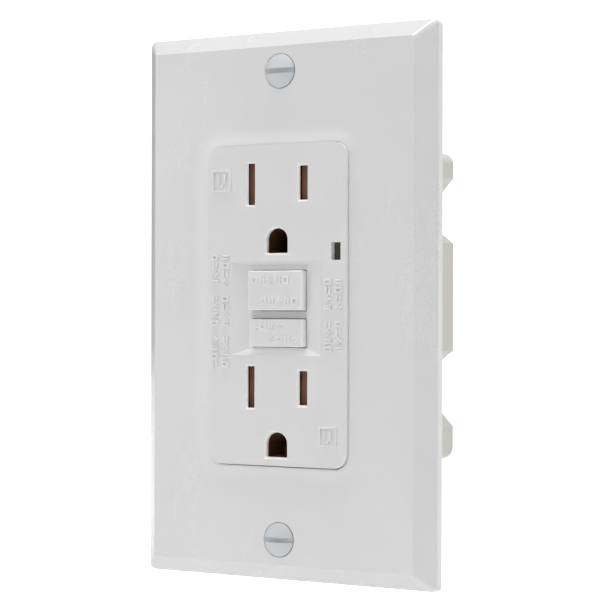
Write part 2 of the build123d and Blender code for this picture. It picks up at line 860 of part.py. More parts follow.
def case_cavity():
    """The room inside the case, wider between its two pairs of pockets."""
    y_limits = (cover_rear - beyond, case_floor)
    room = centred_block(2 * cavity_side, y_limits, both_ways(case_height / 2 - case_end_wall))
    middle = (lower_pocket_top + case_side_wall, upper_pocket_bottom - case_side_wall)
    wide = centred_block(case_width - 2 * case_side_wall, y_limits, middle)
    return room + chamfer(wide.edges().filter_by(Axis.Y), block_chamfer_z / 2)


def wire_holes(side, z):
    """Two square entries in the back for the wires of one terminal."""
    x_limits = (terminal_inner - seat_gap - wire_hole, terminal_inner - seat_gap)
    y_limits = past((case_floor, case_rear))
    return [
        side_block(side, x_limits, y_limits, around(z + offset, wire_hole / 2))
        for offset in both_ways(wire_offset)
    ]


def rear_case():
    body = case_shell() - case_cavity()
    for side in (-1, 1):
        for z in (upper_terminal_z, lower_terminal_z):
            screw_x = [side * x for x in past((cavity_side, pocket_floor))]
            body -= rod_x(terminal_screw_radius + loose_gap, screw_x, terminal_screw_y, z)
            for hole in wire_holes(side, z):
                body -= hole
        for z in both_ways(case_screw_z):
            x = side * case_screw_x
            body -= rod_y(case_screw_radius + 2 * seat_gap, past((cover_rear, case_rear)), x, z)
            body -= rod_y(case_head_radius + seat_gap, (case_head_front, case_rear + beyond), x, z)
    return body


def case_screw(x, z):
    """A long screw that draws the rear case onto the front cover."""
    head = rod_y(case_head_radius, (case_head_front, case_rear - seat_gap), x, z)
    slot_y = (case_rear - case_head_height / 2, case_rear + beyond)
    head -= block(around(x, 2 * case_head_radius), slot_y, around(z, 0.4))
    return head + rod_y(case_screw_radius, (strap_front + 1, case_head_front), x, z)


def case_screws():
    return group(case_screw(x, z) for x in both_ways(case_screw_x) for z in both_ways(case_screw_z))


# Circuit board and what stands on it

def circuit_board():
    y_limits = (board_front, board_rear)
    body = centred_block(board_width, y_limits, both_ways(board_height / 2))
    body += centred_block(board_wing_width, y_limits, (board_wing_bottom, board_wing_top))
    body -= rod_y(pin_radius + loose_gap, past(y_limits), z=reset_z)
    window_z = around(contact_z, contact_tab_half + loose_gap)
    for side in (-1, 1):
        body -= side_block(side, (arm_x - 1.9, arm_outer), past(y_limits), window_z)
    return body


chip_x = 15.95
chip_z = -5.95
lead_pitch = 1.3


def control_chip():
    body_y = (board_rear + slide_gap, board_rear + 1.7)
    body = block(around(chip_x, 1.95), body_y, around(chip_z, 2.45))
    for step in (-1.5, -0.5, 0.5, 1.5):
        lead_z = around(chip_z + step * lead_pitch, 0.2)
        body += block(around(chip_x, 2.85), (board_rear, board_rear + 0.5), lead_z)
    return body


can_x = -16.4


def thyristor():
    """A round-backed switch on three leads."""
    body = rod_y(2.3, (board_rear + 2.0, board_rear + 6.6), can_x, reset_z)
    body -= block((can_x - 4, can_x - 1.2), (board_rear, board_rear + 8), around(reset_z, 4))
    for step in (-1, 0, 1):
        lead_z = around(reset_z + step * lead_pitch, 0.2)
        body += block(around(can_x, 0.25), (board_rear, board_rear + 2.2), lead_z)
    return body


def capacitors():
    cans = []
    for z in (reset_z - 7.4, reset_z + 6.6):
        can = rod_y(2.5, (board_rear + seat_gap, board_rear + 9.0), can_x, z)
        cans.append(fillet(can.edges().filter_by(GeomType.CIRCLE), 0.4))
    return group(cans)


def varistor():
    """A coated disc on two leads."""
    disc = rod_x(5.0, (15.2, 18.4), board_rear + 6.4, contact_z)
    disc = fillet(disc.edges().filter_by(GeomType.CIRCLE), 0.9)
    for z in around(contact_z, 2.5):
        disc += rod_y(0.35, (board_rear, board_rear + 3.2), 16.8, z)
    return disc


def resistor(z):
    middle = board_rear + 1.1
    body = rod_x(0.9, both_ways(3.0), middle, z) + rod_x(0.3, both_ways(4.4), middle, z)
    for x in both_ways(4.1):
        body += rod_y(0.25, (board_rear, middle), x, z)
    return body


def resistors():
    return group(resistor(z) for z in (-12.2, -9.6, -7.0))


# Reset pin, latch and solenoid

def reset_pin():
    """A pin with a thin neck and a cone-shouldered head that catches the latch plate."""
    neck_front = latch_front - reset_travel - loose_gap
    shoulder = latch_front + latch_thickness + seat_gap
    head_front = shoulder + pin_head_radius - pin_neck_radius
    tip_front = head_front + 1.0
    pin = rod_y(pin_radius, (pin_front, neck_front), z=reset_z)
    pin += rod_y(pin_neck_radius, (neck_front, shoulder), z=reset_z)
    pin += cone_y(pin_neck_radius, pin_head_radius, (shoulder, head_front), z=reset_z)
    pin += rod_y(pin_head_radius, (head_front, tip_front), z=reset_z)
    return pin + cone_y(pin_head_radius, pin_neck_radius, (tip_front, tip_front + 0.8), z=reset_z)


def latch_block():
    """A sliding block with wings that hold both arms closed, and a slot for the latch plate."""
    block_y = (block_front, block_front + block_depth)
    wing_y = (block_front, block_front + wing_thickness)
    slot_y = (latch_front - seat_gap, latch_front + latch_thickness + seat_gap)
    slot_z = (reset_z - block_half_height + loose_gap, reset_z + block_half_height + beyond)
    body = centred_block(block_width, block_y, around(reset_z, block_half_height))
    body += centred_block(2 * arm_outer - 0.4, wing_y, around(reset_z, wing_half_height))
    body -= rod_y(pin_head_radius + 0.4, past(block_y), z=reset_z)
    return body - centred_block(latch_width + 2 * loose_gap, slot_y, slot_z)


def latch_plate():
    """A plate whose edge between two legs catches the pin, with a fork around the plunger's neck."""
    disc_top = plunger_foot + plunger_disc
    tab_z = (disc_top + 0.6, disc_top + 0.6 + latch_thickness)
    plate_y = (latch_front, latch_front + latch_thickness)
    leg_end = reset_z - 2.9
    body = centred_block(latch_width, plate_y, (leg_end, tab_z[1]))
    body -= centred_block(latch_width - 2.0, past(plate_y), (leg_end - beyond, latch_edge))
    disc_room = (plunger_foot - loose_gap, disc_top + loose_gap)
    body -= centred_block(2 * plunger_radius, past(plate_y), disc_room)
    body += centred_block(latch_width, (latch_front, solenoid_y + 2.4), tab_z)
    fork_y = (latch_front + latch_thickness + seat_gap, solenoid_y + 3)
    return body - centred_block(plunger_radius + 0.4, fork_y, past(tab_z))


def plunger():
    """The iron core, with a neck and a disc that draw the latch plate upwards."""
    collar_z = (plunger_neck_top, plunger_neck_top + plunger_collar)
    body = rod_z(plunger_radius, (plunger_foot, plunger_foot + plunger_disc), y=solenoid_y)
    body += rod_z(plunger_radius / 2, (plunger_foot, plunger_neck_top), y=solenoid_y)
    body += rod_z(plunger_collar_radius, collar_z, y=solenoid_y)
    return body + rod_z(plunger_radius, (plunger_neck_top, plunger_top), y=solenoid_y)


def plunger_spring():
    """The round outer form of the spring that holds the plunger out."""
    outer = plunger_collar_radius - 0.2
    z_limits = (plunger_neck_top + plunger_collar, solenoid_bottom)
    return tube_z(outer, outer - 0.5, z_limits, solenoid_y)


def solenoid_frame():
    y_limits = (solenoid_y - solenoid_width / 2, solenoid_y + 5.9)
    bottom_z = (solenoid_bottom, solenoid_bottom + solenoid_plate)
    body = centred_block(solenoid_width, y_limits, bottom_z)
    body += centred_block(solenoid_width, y_limits, (solenoid_top - solenoid_plate, solenoid_top))
    bridge_y = (y_limits[0], y_limits[0] + solenoid_plate)
    body += centred_block(solenoid_width, bridge_y, (solenoid_bottom, solenoid_top))
    return body - rod_z(bobbin_bore, past(bottom_z), y=solenoid_y)


def solenoid_bobbin():
    body = rod_z(bobbin_tube, (bobbin_bottom, bobbin_top), y=solenoid_y)
    body += rod_z(bobbin_radius, (bobbin_bottom, bobbin_bottom + bobbin_flange), y=solenoid_y)
    body += rod_z(bobbin_radius, (bobbin_top - bobbin_flange, bobbin_top), y=solenoid_y)
    return body - rod_z(bobbin_bore, past((bobbin_bottom, bobbin_top)), y=solenoid_y)


def solenoid_coil():
    z_limits = (bobbin_bottom + bobbin_flange, bobbin_top - bobbin_flange)
    return tube_z(bobbin_radius - loose_gap, bobbin_tube, z_limits, solenoid_y)


# Sensing transformers, which the line conductors pass through

def transformer_housing():
    """A round cup with a hollow hub."""
    cup_y = (drum_front, drum_rear)
    room_y = (drum_front - beyond, drum_rear - drum_wall)
    body = rod_y(transformer_radius, cup_y, z=transformer_z)
    body -= rod_y(transformer_radius - drum_wall, room_y, z=transformer_z)
    body += rod_y(drum_hub, cup_y, z=transformer_z)
    return body - rod_y(drum_hub - drum_hub_wall, past(cup_y), z=transformer_z)


def wound_core(front):
    """The outer form of a wound ring core."""
    outer = transformer_radius - drum_wall - loose_gap
    ring = tube_y(outer, drum_hub + loose_gap, (front, front + core_length), transformer_z)
    return fillet(ring.edges().filter_by(GeomType.CIRCLE), core_length / 5)


def sense_transformer():
    return wound_core(drum_front + 0.6)


def neutral_transformer():
    return wound_core(drum_rear - drum_wall - 0.6 - core_length)


nodes = {
    "wall_plate": wall_plate(),
    "plate_screws": plate_screws(),
    "front_cover": front_cover(),
    "reset_button": reset_button(),
    "reset_pin": reset_pin(),
    "reset_spring": reset_spring(),
    "test_button": test_button(),
    "test_contact": test_contact(),
    "test_pin": test_pin(),
    "indicator_light_pipe": indicator_light_pipe(),
    "indicator_led": indicator_led(),
    "mounting_strap": mounting_strap(),
    "device_screws": device_screws(),
    "screw_retainers": screw_retainers(),
    "contact_rivets": contact_rivets(),
    "ground_screw": ground_screw(),
    "middle_housing": middle_housing(),
    "rear_case": rear_case(),
    "case_screws": case_screws(),
    "fixed_contacts": fixed_contacts(),
    "circuit_board": circuit_board(),
    "control_chip": control_chip(),
    "thyristor": thyristor(),
    "varistor": varistor(),
    "capacitors": capacitors(),
    "resistors": resistors(),
    "latch_block": latch_block(),
    "latch_plate": latch_plate(),
    "plunger": plunger(),
    "plunger_spring": plunger_spring(),
    "solenoid_frame": solenoid_frame(),
    "solenoid_bobbin": solenoid_bobbin(),
    "solenoid_coil": solenoid_coil(),
    "transformer_housing": transformer_housing(),
    "sense_transformer": sense_transformer(),
    "neutral_transformer": neutral_transformer(),
}
for place, line, ground in zip(("upper", "lower"), blade_lines, ground_lines):
    nodes[place + "_ground_contact"] = ground_contact(ground)
    nodes[place + "_shutter"] = shutter(line)
    nodes[place + "_shutter_spring"] = shutter_spring(line)
    nodes[place + "_shutter_tray"] = shutter_tray(line)
for wire, side in (("neutral", -1), ("hot", 1)):
    nodes[wire + "_contact_bar"] = contact_bar(side)
    nodes[wire + "_contact_arm"] = contact_arm(side)
    nodes["load_" + wire + "_terminal"] = load_terminal(side)
    nodes["line_" + wire + "_terminal"] = line_terminal(side)
    for end, z in (("load", upper_terminal_z), ("line", lower_terminal_z)):
        nodes[end + "_" + wire + "_screw"] = terminal_screw(side, z)
        nodes[end + "_" + wire + "_clamp"] = clamp_plate(side, z)

os.makedirs("parts", exist_ok=True)
for name, shape in nodes.items():
    export_step(shape, "parts/" + name + ".step")
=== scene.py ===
import bmesh
import bpy
import json
import math
from mathutils import Matrix, Vector


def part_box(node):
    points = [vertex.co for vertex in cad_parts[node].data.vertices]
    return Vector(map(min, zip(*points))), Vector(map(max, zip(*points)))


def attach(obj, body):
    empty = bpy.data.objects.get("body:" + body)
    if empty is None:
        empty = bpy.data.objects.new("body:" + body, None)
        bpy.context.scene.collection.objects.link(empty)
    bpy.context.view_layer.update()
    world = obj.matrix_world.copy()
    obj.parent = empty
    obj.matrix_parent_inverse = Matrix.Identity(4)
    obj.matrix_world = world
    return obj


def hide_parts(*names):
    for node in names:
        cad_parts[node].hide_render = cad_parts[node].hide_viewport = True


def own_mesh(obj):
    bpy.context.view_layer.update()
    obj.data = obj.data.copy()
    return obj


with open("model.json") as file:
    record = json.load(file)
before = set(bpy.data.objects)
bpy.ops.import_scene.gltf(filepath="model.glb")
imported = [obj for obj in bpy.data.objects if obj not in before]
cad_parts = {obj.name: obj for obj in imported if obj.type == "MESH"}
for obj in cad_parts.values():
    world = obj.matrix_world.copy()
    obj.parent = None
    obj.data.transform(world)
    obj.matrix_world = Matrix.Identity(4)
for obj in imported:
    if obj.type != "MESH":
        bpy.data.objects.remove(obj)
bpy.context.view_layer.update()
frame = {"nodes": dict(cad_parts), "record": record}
frontTurn = Matrix.Rotation(math.pi / 2, 3, "X")     # lays a shape drawn flat against the front
print("frame loaded", len(frame["nodes"]))

# Camera, at the height of the plate and to its right

cameraSizes = {"azimuth": 31.520, "elevation": -0.226, "roll": 0.143, "distance": 0.41795,
               "lens": 120.05, "shiftX": 0.01116, "shiftY": 0.00879}


def makeCamera(sizes):
    azimuth = math.radians(sizes["azimuth"])
    elevation = math.radians(sizes["elevation"])
    back = Vector((math.sin(azimuth) * math.cos(elevation),
                   -math.cos(azimuth) * math.cos(elevation),
                   math.sin(elevation)))
    data = bpy.data.cameras.new("camera")
    data.lens = sizes["lens"]
    data.shift_x = sizes["shiftX"]
    data.shift_y = sizes["shiftY"]
    data.clip_start = 0.01
    data.clip_end = 20.0
    camera = bpy.data.objects.new("camera", data)
    bpy.context.scene.collection.objects.link(camera)
    level = (-back).to_track_quat("-Z", "Y").to_matrix()
    turned = level @ Matrix.Rotation(math.radians(sizes["roll"]), 3, "Z")
    camera.matrix_world = Matrix.Translation(back * sizes["distance"]) @ turned.to_4x4()
    bpy.context.scene.camera = camera


makeCamera(cameraSizes)

# Shader maths: a Wire is one output of a node, and sums of wires add Math nodes


class Wire:
    def __init__(self, tree, socket):
        self.tree = tree
        self.socket = socket

    def node(self, kind, settings=None, output=0, **values):
        made = self.tree.nodes.new(kind)
        for name, value in (settings or {}).items():
            setattr(made, name, value)
        for name, value in values.items():
            place = int(name[1:]) if name[1:].isdigit() else name.replace("_", " ")
            if isinstance(value, Wire):
                self.tree.links.new(value.socket, made.inputs[place])
            else:
                made.inputs[place].default_value = value
        return Wire(self.tree, made.outputs[output])

    def maths(self, operation, first, second=0.0):
        return self.node("ShaderNodeMath", {"operation": operation}, i0=first, i1=second)

    def __add__(self, other):
        return self.maths("ADD", self, other)

    def __radd__(self, other):
        return self.maths("ADD", other, self)

    def __rsub__(self, other):
        return self.maths("SUBTRACT", other, self)

    def __mul__(self, other):
        return self.maths("MULTIPLY", self, other)

    def between(self, low, high):
        return self.node("ShaderNodeMapRange", {"clamp": True}, i0=self, i1=low, i2=high)

    def mixed(self, first, second):
        return self.node("ShaderNodeMix", {"data_type": "RGBA"}, output=2, i0=self, i6=first, i7=second)

    def scaled(self, sizes):
        return self.node("ShaderNodeVectorMath", {"operation": "MULTIPLY"}, i0=self, i1=sizes)

    def noise(self, scale, detail=3.0, roughness=0.5):
        return self.node("ShaderNodeTexNoise", None, 0, Vector=self, Scale=scale, Detail=detail,
                         Roughness=roughness)


def startMaterial(name):
    material = bpy.data.materials.new(name)
    material.use_nodes = True
    tree = material.node_tree
    shader = tree.nodes["Principled BSDF"]
    places = tree.nodes.new("ShaderNodeTexCoord")
    return material, shader, Wire(tree, places.outputs["Object"])


def connect(shader, name, value):
    if isinstance(value, Wire):
        value.tree.links.new(value.socket, shader.inputs[name])
    else:
        shader.inputs[name].default_value = value


def colourOf(red, green, blue):
    return (red, green, blue, 1.0)


def tinted(colour, factor):
    return tuple(min(1.0, part * factor) for part in colour[:3]) + (1.0,)


# Moulded plastic: faint cloudiness, a fine skin of ripples and a little dust in the gloss, with painted
# highlights and painted shade where a vertex attribute asks for them

def makePlastic(name, colour, roughness=0.3, coat=0.2, grain=1.0, subsurface=0.0):
    material, shader, at = startMaterial(name)
    cloud = at.noise(38.0, 4.0, 0.55)
    speck = at.noise(2600.0, 2.0, 0.5)
    skin = at.noise(900.0, 3.0, 0.6)
    # rim carries painted light: 1 paints a highlight, -1 paints shade
    rim = at.node("ShaderNodeAttribute", {"attribute_name": "rim"}, 2)     # 1 is paler, -1 darker
    flat = cloud.between(0.3, 0.7).mixed(colour, tinted(colour, 1.03))
    # painted shade: towards a darker copy of the colour where rim is below zero
    withPaintedShade = (rim * -1.0).between(0.0, 1.0).mixed(flat, tinted(colour, 0.45))
    # painted highlight: towards a paler copy of the colour where rim is above zero
    connect(shader, "Base Color", rim.between(0.0, 1.0).mixed(withPaintedShade, tinted(colour, 1.22)))
    smear = at.scaled((1.0, 1.0, 0.35)).noise(90.0, 5.0, 0.6).between(0.42, 0.62)
    connect(shader, "Roughness", roughness + smear * 0.02 + speck * 0.03)
    connect(shader, "IOR", 1.49)
    connect(shader, "Coat Weight", coat + cloud * 0.015)
    connect(shader, "Coat Roughness", 0.12)
    if subsurface:
        connect(shader, "Subsurface Weight", subsurface)
        connect(shader, "Subsurface Radius", (1.0, 0.9, 0.8))
        connect(shader, "Subsurface Scale", 0.0012)
    height = skin * 0.7 + speck * 0.3
    bump = at.node("ShaderNodeBump", None, 0, Strength=0.05 * grain, Distance=0.0002, Height=height)
    connect(shader, "Normal", bump)
    return material


# Metal: brushed or plated, with stains and fine scratches

def makeMetal(name, colour, roughness=0.3, stain=0.3, metallic=1.0, stretch=(1.0, 1.0, 1.0), relief=1.0):
    material, shader, at = startMaterial(name)
    broad = at.noise(120.0, 5.0, 0.6)
    fine = at.scaled(stretch).noise(1500.0, 4.0, 0.6)
    dull = tinted(colour, 0.72)
    patch = broad.between(0.42, 0.68)
    connect(shader, "Base Color", (patch * stain).mixed(colour, dull))
    connect(shader, "Metallic", metallic - patch * 0.06)
    connect(shader, "Roughness", roughness + patch * 0.12 + fine * 0.12)
    bump = at.node("ShaderNodeBump", None, 0, Strength=0.12 * relief, Distance=0.0001, Height=fine)
    connect(shader, "Normal", bump)
    return material


# Pressed board and laminate: woven threads under a thin varnish

def makeWoven(name, colour, dark, pitch=1800.0, roughness=0.45):
    material, shader, at = startMaterial(name)
    warp = at.node("ShaderNodeTexWave", {"bands_direction": "X"}, 1, Vector=at, Scale=pitch / 6.3,
                   Distortion=0.6, Detail=1.0)
    weft = at.node("ShaderNodeTexWave", {"bands_direction": "Z"}, 1, Vector=at, Scale=pitch / 6.3,
                   Distortion=0.6, Detail=1.0)
    weave = warp * weft
    cloud = at.noise(150.0, 4.0, 0.6)
    connect(shader, "Base Color", (weave * 0.6 + cloud * 0.4).between(0.1, 0.8).mixed(dark, colour))
    connect(shader, "Roughness", roughness + weave * 0.1)
    bump = at.node("ShaderNodeBump", None, 0, Strength=0.15, Distance=0.0001, Height=weave)
    connect(shader, "Normal", bump)
    return material


def makeLens(name, colour, glow):
    material, shader, at = startMaterial(name)
    cloud = at.noise(700.0, 3.0, 0.5)
    connect(shader, "Base Color", cloud.mixed(colour, tinted(colour, 1.4)))
    connect(shader, "Roughness", 0.12 + cloud * 0.1)
    connect(shader, "IOR", 1.49)
    connect(shader, "Coat Weight", 0.6)
    connect(shader, "Emission Color", cloud.mixed(glow, tinted(glow, 0.8)))
    connect(shader, "Emission Strength", 0.0)
    return material


looks = {
    "plate": makePlastic("platePlastic", colourOf(0.80, 0.80, 0.81), 0.24, 0.35, 0.8),
    "face": makePlastic("facePlastic", colourOf(0.80, 0.80, 0.80), 0.34, 0.15, 1.4),
    "button": makePlastic("buttonPlastic", colourOf(0.81, 0.81, 0.81), 0.32, 0.2, 1.2),
    "enamel": makePlastic("headEnamel", colourOf(0.66, 0.68, 0.70), 0.3, 0.4, 1.0),
    "lamp": makeLens("lampPlastic", colourOf(0.05, 0.045, 0.03), colourOf(0.1, 0.2, 0.05)),
    "lens": makeLens("lampLens", colourOf(0.35, 0.5, 0.2), colourOf(0.2, 0.8, 0.1)),
    "case": makePlastic("casePlastic", colourOf(0.62, 0.60, 0.56), 0.38, 0.08, 1.8),
    "housing": makePlastic("housingPlastic", colourOf(0.085, 0.034, 0.013), 0.5, 0.0, 2.0),
    "shutter": makePlastic("shutterPlastic", colourOf(0.40, 0.20, 0.12), 0.45, 0.05, 1.6),
    "black": makePlastic("blackPlastic", colourOf(0.02, 0.02, 0.021), 0.35, 0.1, 1.5),
    "zinc": makeMetal("zincSteel", colourOf(0.66, 0.68, 0.70), 0.32, 0.45),
    "spring": makeMetal("springSteel", colourOf(0.55, 0.55, 0.56), 0.28, 0.3),
    "brass": makeMetal("brass", colourOf(0.80, 0.60, 0.28), 0.26, 0.5),
    "brassScrew": makeMetal("brassScrew", colourOf(0.82, 0.63, 0.30), 0.22, 0.35),
    "silverScrew": makeMetal("silverScrew", colourOf(0.80, 0.81, 0.82), 0.22, 0.3),
    "greenScrew": makeMetal("greenScrew", colourOf(0.06, 0.30, 0.12), 0.3, 0.4, 0.85),
    # brass darkened as painted shade, for the ground contacts deep in their holes
    "shadedBrass": makeMetal("shadedBrassContact", colourOf(0.34, 0.19, 0.09), 0.36, 0.4),
    "silver": makeMetal("silverContact", colourOf(0.88, 0.88, 0.86), 0.25, 0.35),
    "copper": makeMetal("copperWire", colourOf(0.72, 0.32, 0.16), 0.25, 0.3),
    "fibre": makeWoven("fibre", colourOf(0.52, 0.40, 0.24), colourOf(0.36, 0.26, 0.15), 1500.0),
    "board": makeWoven("boardLaminate", colourOf(0.09, 0.26, 0.12), colourOf(0.04, 0.15, 0.07), 1200.0),
    "component": makePlastic("componentBody", colourOf(0.05, 0.10, 0.24), 0.3, 0.3, 1.0),
}
slotLooks = {
    "plate_plastic": "plate", "face_plastic": "face", "button_plastic": "button", "head_enamel": "enamel",
    "lamp_plastic": "lamp", "lamp_lens": "lens", "case_plastic": "case", "housing_plastic": "housing",
    "shutter_plastic": "shutter", "black_plastic": "black", "zinc_steel": "zinc",
    "spring_steel": "spring", "brass": "brass", "brass_screw": "brassScrew",
    "silver_screw": "silverScrew", "green_screw": "greenScrew", "silver_contact": "silver",
    "copper_wire": "copper", "fibre": "fibre", "board_laminate": "board", "component_body": "component",
}
print("materials made", len(looks))

# Mesh helpers. Shapes are drawn in millimetres and scaled to metres when a piece is finished


def turnedBy(bm, verts, matrix, x, y, z):
    bmesh.ops.rotate(bm, cent=(0.0, 0.0, 0.0), matrix=matrix, verts=verts)
    bmesh.ops.translate(bm, vec=(x, y, z), verts=verts)


def ring(bm, half, corner, y, at=(0.0, 0.0), steps=6):
    # the edges of a rounded rectangle that faces the room; corner may be (lower, upper)
    old = set(bm.edges)
    corners = bmesh.ops.create_grid(bm, x_segments=1, y_segments=1, size=1.0)["verts"]
    bmesh.ops.scale(bm, vec=(half[0], half[1], 1.0), verts=corners)
    turnedBy(bm, corners, frontTurn, at[0], y, at[1])
    sizes = corner if isinstance(corner, tuple) else (corner, corner)
    lower = [v for v in corners if v.co.z < at[1]]
    upper = [v for v in corners if v.co.z >= at[1]]
    for verts, size in ((lower, sizes[0]), (upper, sizes[1])):
        bmesh.ops.bevel(bm, geom=verts, offset=size, segments=steps, profile=0.5, affect="VERTICES",
                        offset_type="OFFSET", material=-1)
    edges = [e for e in bm.edges if e not in old]
    faces = list({f for e in edges for f in e.link_faces})
    bmesh.ops.delete(bm, geom=faces, context="FACES_ONLY")
    return edges


def circle(bm, radius, y, at=(0.0, 0.0), steps=40):
    made = bmesh.ops.create_circle(bm, cap_ends=False, segments=steps, radius=radius)["verts"]
    turnedBy(bm, made, frontTurn, at[0], y, at[1])
    return list({e for v in made for e in v.link_edges})


def stack(bm, rings):
    for first, second in zip(rings, rings[1:]):
        bmesh.ops.bridge_loops(bm, edges=first + second)


def fill(bm, *loops):
    bmesh.ops.triangle_fill(bm, edges=[e for loop in loops for e in loop], use_beauty=True,
                            normal=(0.0, -1.0, 0.0))


def soften(bm, edges, width, steps=3):
    bmesh.ops.bevel(bm, geom=edges, offset=width, segments=steps, profile=0.5, affect="EDGES",
                    offset_type="OFFSET", clamp_overlap=True, material=-1)


def turned(bm, profile, at=(0.0, 0.0), steps=40):
    # a solid of revolution about a line along Y, from (radius, y) pairs
    rings = [circle(bm, radius, y, at, steps) for radius, y in profile]
    stack(bm, rings)
    for loop in (rings[0], rings[-1]):
        bmesh.ops.edgeloop_fill(bm, edges=loop)


def brick(bm, xs, ys, zs, edge=0.12, steps=2):
    old = set(bm.faces)
    verts = bmesh.ops.create_cube(bm, size=1.0)["verts"]
    bmesh.ops.scale(bm, vec=(xs[1] - xs[0], ys[1] - ys[0], zs[1] - zs[0]), verts=verts)
    middle = (sum(xs) / 2, sum(ys) / 2, sum(zs) / 2)
    bmesh.ops.translate(bm, vec=middle, verts=verts)
    if edge:
        soften(bm, list({e for v in verts for e in v.link_edges}), edge, steps)
    return [f for f in bm.faces if f not in old]


def helix(bm, wire, sides, radius, rise, turns, steps, stretch=1.0):
    # a wire wound about Z from zero upwards; stretch widens its section along Z
    made = bmesh.ops.create_circle(bm, cap_ends=False, segments=sides, radius=wire)["verts"]
    bmesh.ops.scale(bm, vec=(1.0, stretch, 1.0), verts=made)
    turnedBy(bm, made, frontTurn, radius, 0.0, 0.0)
    first = list({e for v in made for e in v.link_edges})
    swept = bmesh.ops.spin(bm, geom=made + first, cent=(0.0, 0.0, 0.0), axis=(0.0, 0.0, 1.0),
                           dvec=(0.0, 0.0, rise / steps), angle=2 * math.pi * turns,
                           steps=round(steps * turns), use_merge=False, use_duplicate=False)
    last = [g for g in swept["geom_last"] if isinstance(g, bmesh.types.BMEdge)]
    for loop in (first, last):
        bmesh.ops.edgeloop_fill(bm, edges=loop)
    verts, waiting = set(made), list(made)
    while waiting:
        for edge in waiting.pop().link_edges:
            for vert in edge.verts:
                if vert not in verts:
                    verts.add(vert)
                    waiting.append(vert)
    return list(verts)


def asObject(bm, name):
    mesh = bpy.data.meshes.new(name)
    bm.to_mesh(mesh)
    made = bpy.data.objects.new(name, mesh)
    bpy.context.scene.collection.objects.link(made)
    return made


def cutAway(bm, cutter):
    # takes the solids in one bmesh away from those in another
    bmesh.ops.recalc_face_normals(bm, faces=bm.faces)
    bmesh.ops.recalc_face_normals(cutter, faces=cutter.faces)
    body, tool = asObject(bm, "body"), asObject(cutter, "tool")
    change = body.modifiers.new("cut", "BOOLEAN")
    change.object = tool
    change.operation = "DIFFERENCE"
    change.solver = "EXACT"
    change.use_self = True
    result = bpy.data.meshes.new_from_object(body.evaluated_get(bpy.context.evaluated_depsgraph_get()))
    bm.clear()
    bm.from_mesh(result)
    for made in (body, tool):
        mesh = made.data
        bpy.data.objects.remove(made)
        bpy.data.meshes.remove(mesh)
    bpy.data.meshes.remove(result)
    cutter.free()


def paintLightAndShade(bm, amount):
    # the attribute of painted highlights and painted shade on the plastic, from each vertex's place
    layer = bm.verts.layers.float.new("rim")
    for vert in bm.verts:
        vert[layer] = amount(vert.co)


def finishPiece(name, bm, look, body, nodes, angle=32.0):
    bmesh.ops.scale(bm, vec=(0.001, 0.001, 0.001), verts=bm.verts)
    bmesh.ops.recalc_face_normals(bm, faces=bm.faces)
    piece = asObject(bm, name)
    bm.free()
    piece.data.shade_smooth()
    piece.data.set_sharp_from_angle(angle=math.radians(angle))
    piece.data.materials.append(looks[look])
    weigh = piece.modifiers.new("weigh", "WEIGHTED_NORMAL")
    weigh.keep_sharp = True
    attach(piece, body)
    if nodes:
        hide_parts(*nodes)
    return piece


# Wall plate: sloping border, soft raised edge around the opening, countersunk holes, hollow back

plateSizes = {"half": (34.925, 57.15), "corner": 1.2, "edge": -2.2, "front": -5.6, "bevel": 3.5,
              "wall": 2.2, "roof": -3.4, "opening": (16.75, 33.29), "openingCorner": 3.1, "openingZ": -0.08,
              "screwZ": 48.42, "boss": 3.4, "bossEnd": -1.45, "seat": 3.65, "seatEnd": -3.587,
              "hole": 1.95,
              "collar": ((4.2, -5.6), (3.0, -5.63), (2.2, -5.72), (1.5, -5.87), (0.9, -6.0),
                         (0.45, -6.08), (0.22, -6.09), (0.06, -6.05), (0.0, -5.95), (0.0, -3.4))}


def grown(half, offset):
    return (half[0] + offset, half[1] + offset)


def makeWallPlate(sizes):
    bm = bmesh.new()
    half, bevel, wall = sizes["half"], sizes["bevel"], sizes["wall"]
    foot = ring(bm, half, sizes["corner"], 0.0)
    shoulder = ring(bm, half, sizes["corner"], sizes["edge"])
    rim = ring(bm, grown(half, -bevel), sizes["corner"] / 2, sizes["front"])
    stack(bm, [foot, shoulder, rim])
    collar = [ring(bm, grown(sizes["opening"], offset), sizes["openingCorner"] + offset, y,
                   (0.0, sizes["openingZ"]), 10) for offset, y in sizes["collar"]]
    stack(bm, collar)
    seats, bosses = [], []
    for side in (-1, 1):
        at = (0.0, side * sizes["screwZ"])
        profile = ((sizes["seat"] + 0.12, sizes["front"]), (sizes["seat"], sizes["front"] + 0.08),
                   (sizes["hole"], sizes["seatEnd"]), (sizes["hole"], sizes["bossEnd"]),
                   (sizes["boss"] - 0.2, sizes["bossEnd"]), (sizes["boss"], sizes["bossEnd"] - 0.2),
                   (sizes["boss"], sizes["roof"]))
        rings = [circle(bm, radius, y, at, 56) for radius, y in profile]
        stack(bm, rings)
        seats.append(rings[0])
        bosses.append(rings[-1])
    inner = grown(half, -wall)
    inside = [ring(bm, inner, sizes["corner"], 0.0), ring(bm, inner, sizes["corner"], sizes["edge"] / 2),
              ring(bm, grown(inner, -bevel), sizes["corner"] / 2, sizes["roof"])]
    stack(bm, inside)
    fill(bm, foot, inside[0])
    fill(bm, rim, collar[0], *seats)
    fill(bm, inside[-1], collar[-1], *bosses)
    soften(bm, rim, 1.1, 6)
    soften(bm, shoulder, 0.45, 5)
    soften(bm, foot, 0.15, 2)
    return finishPiece("wallPlate", bm, "plate", "receptacle", ["wall_plate"], 40.0)


makeWallPlate(plateSizes)
print("wall plate made")

# Front cover: blade slots with sloping edges, ground holes, a sunken place for the buttons

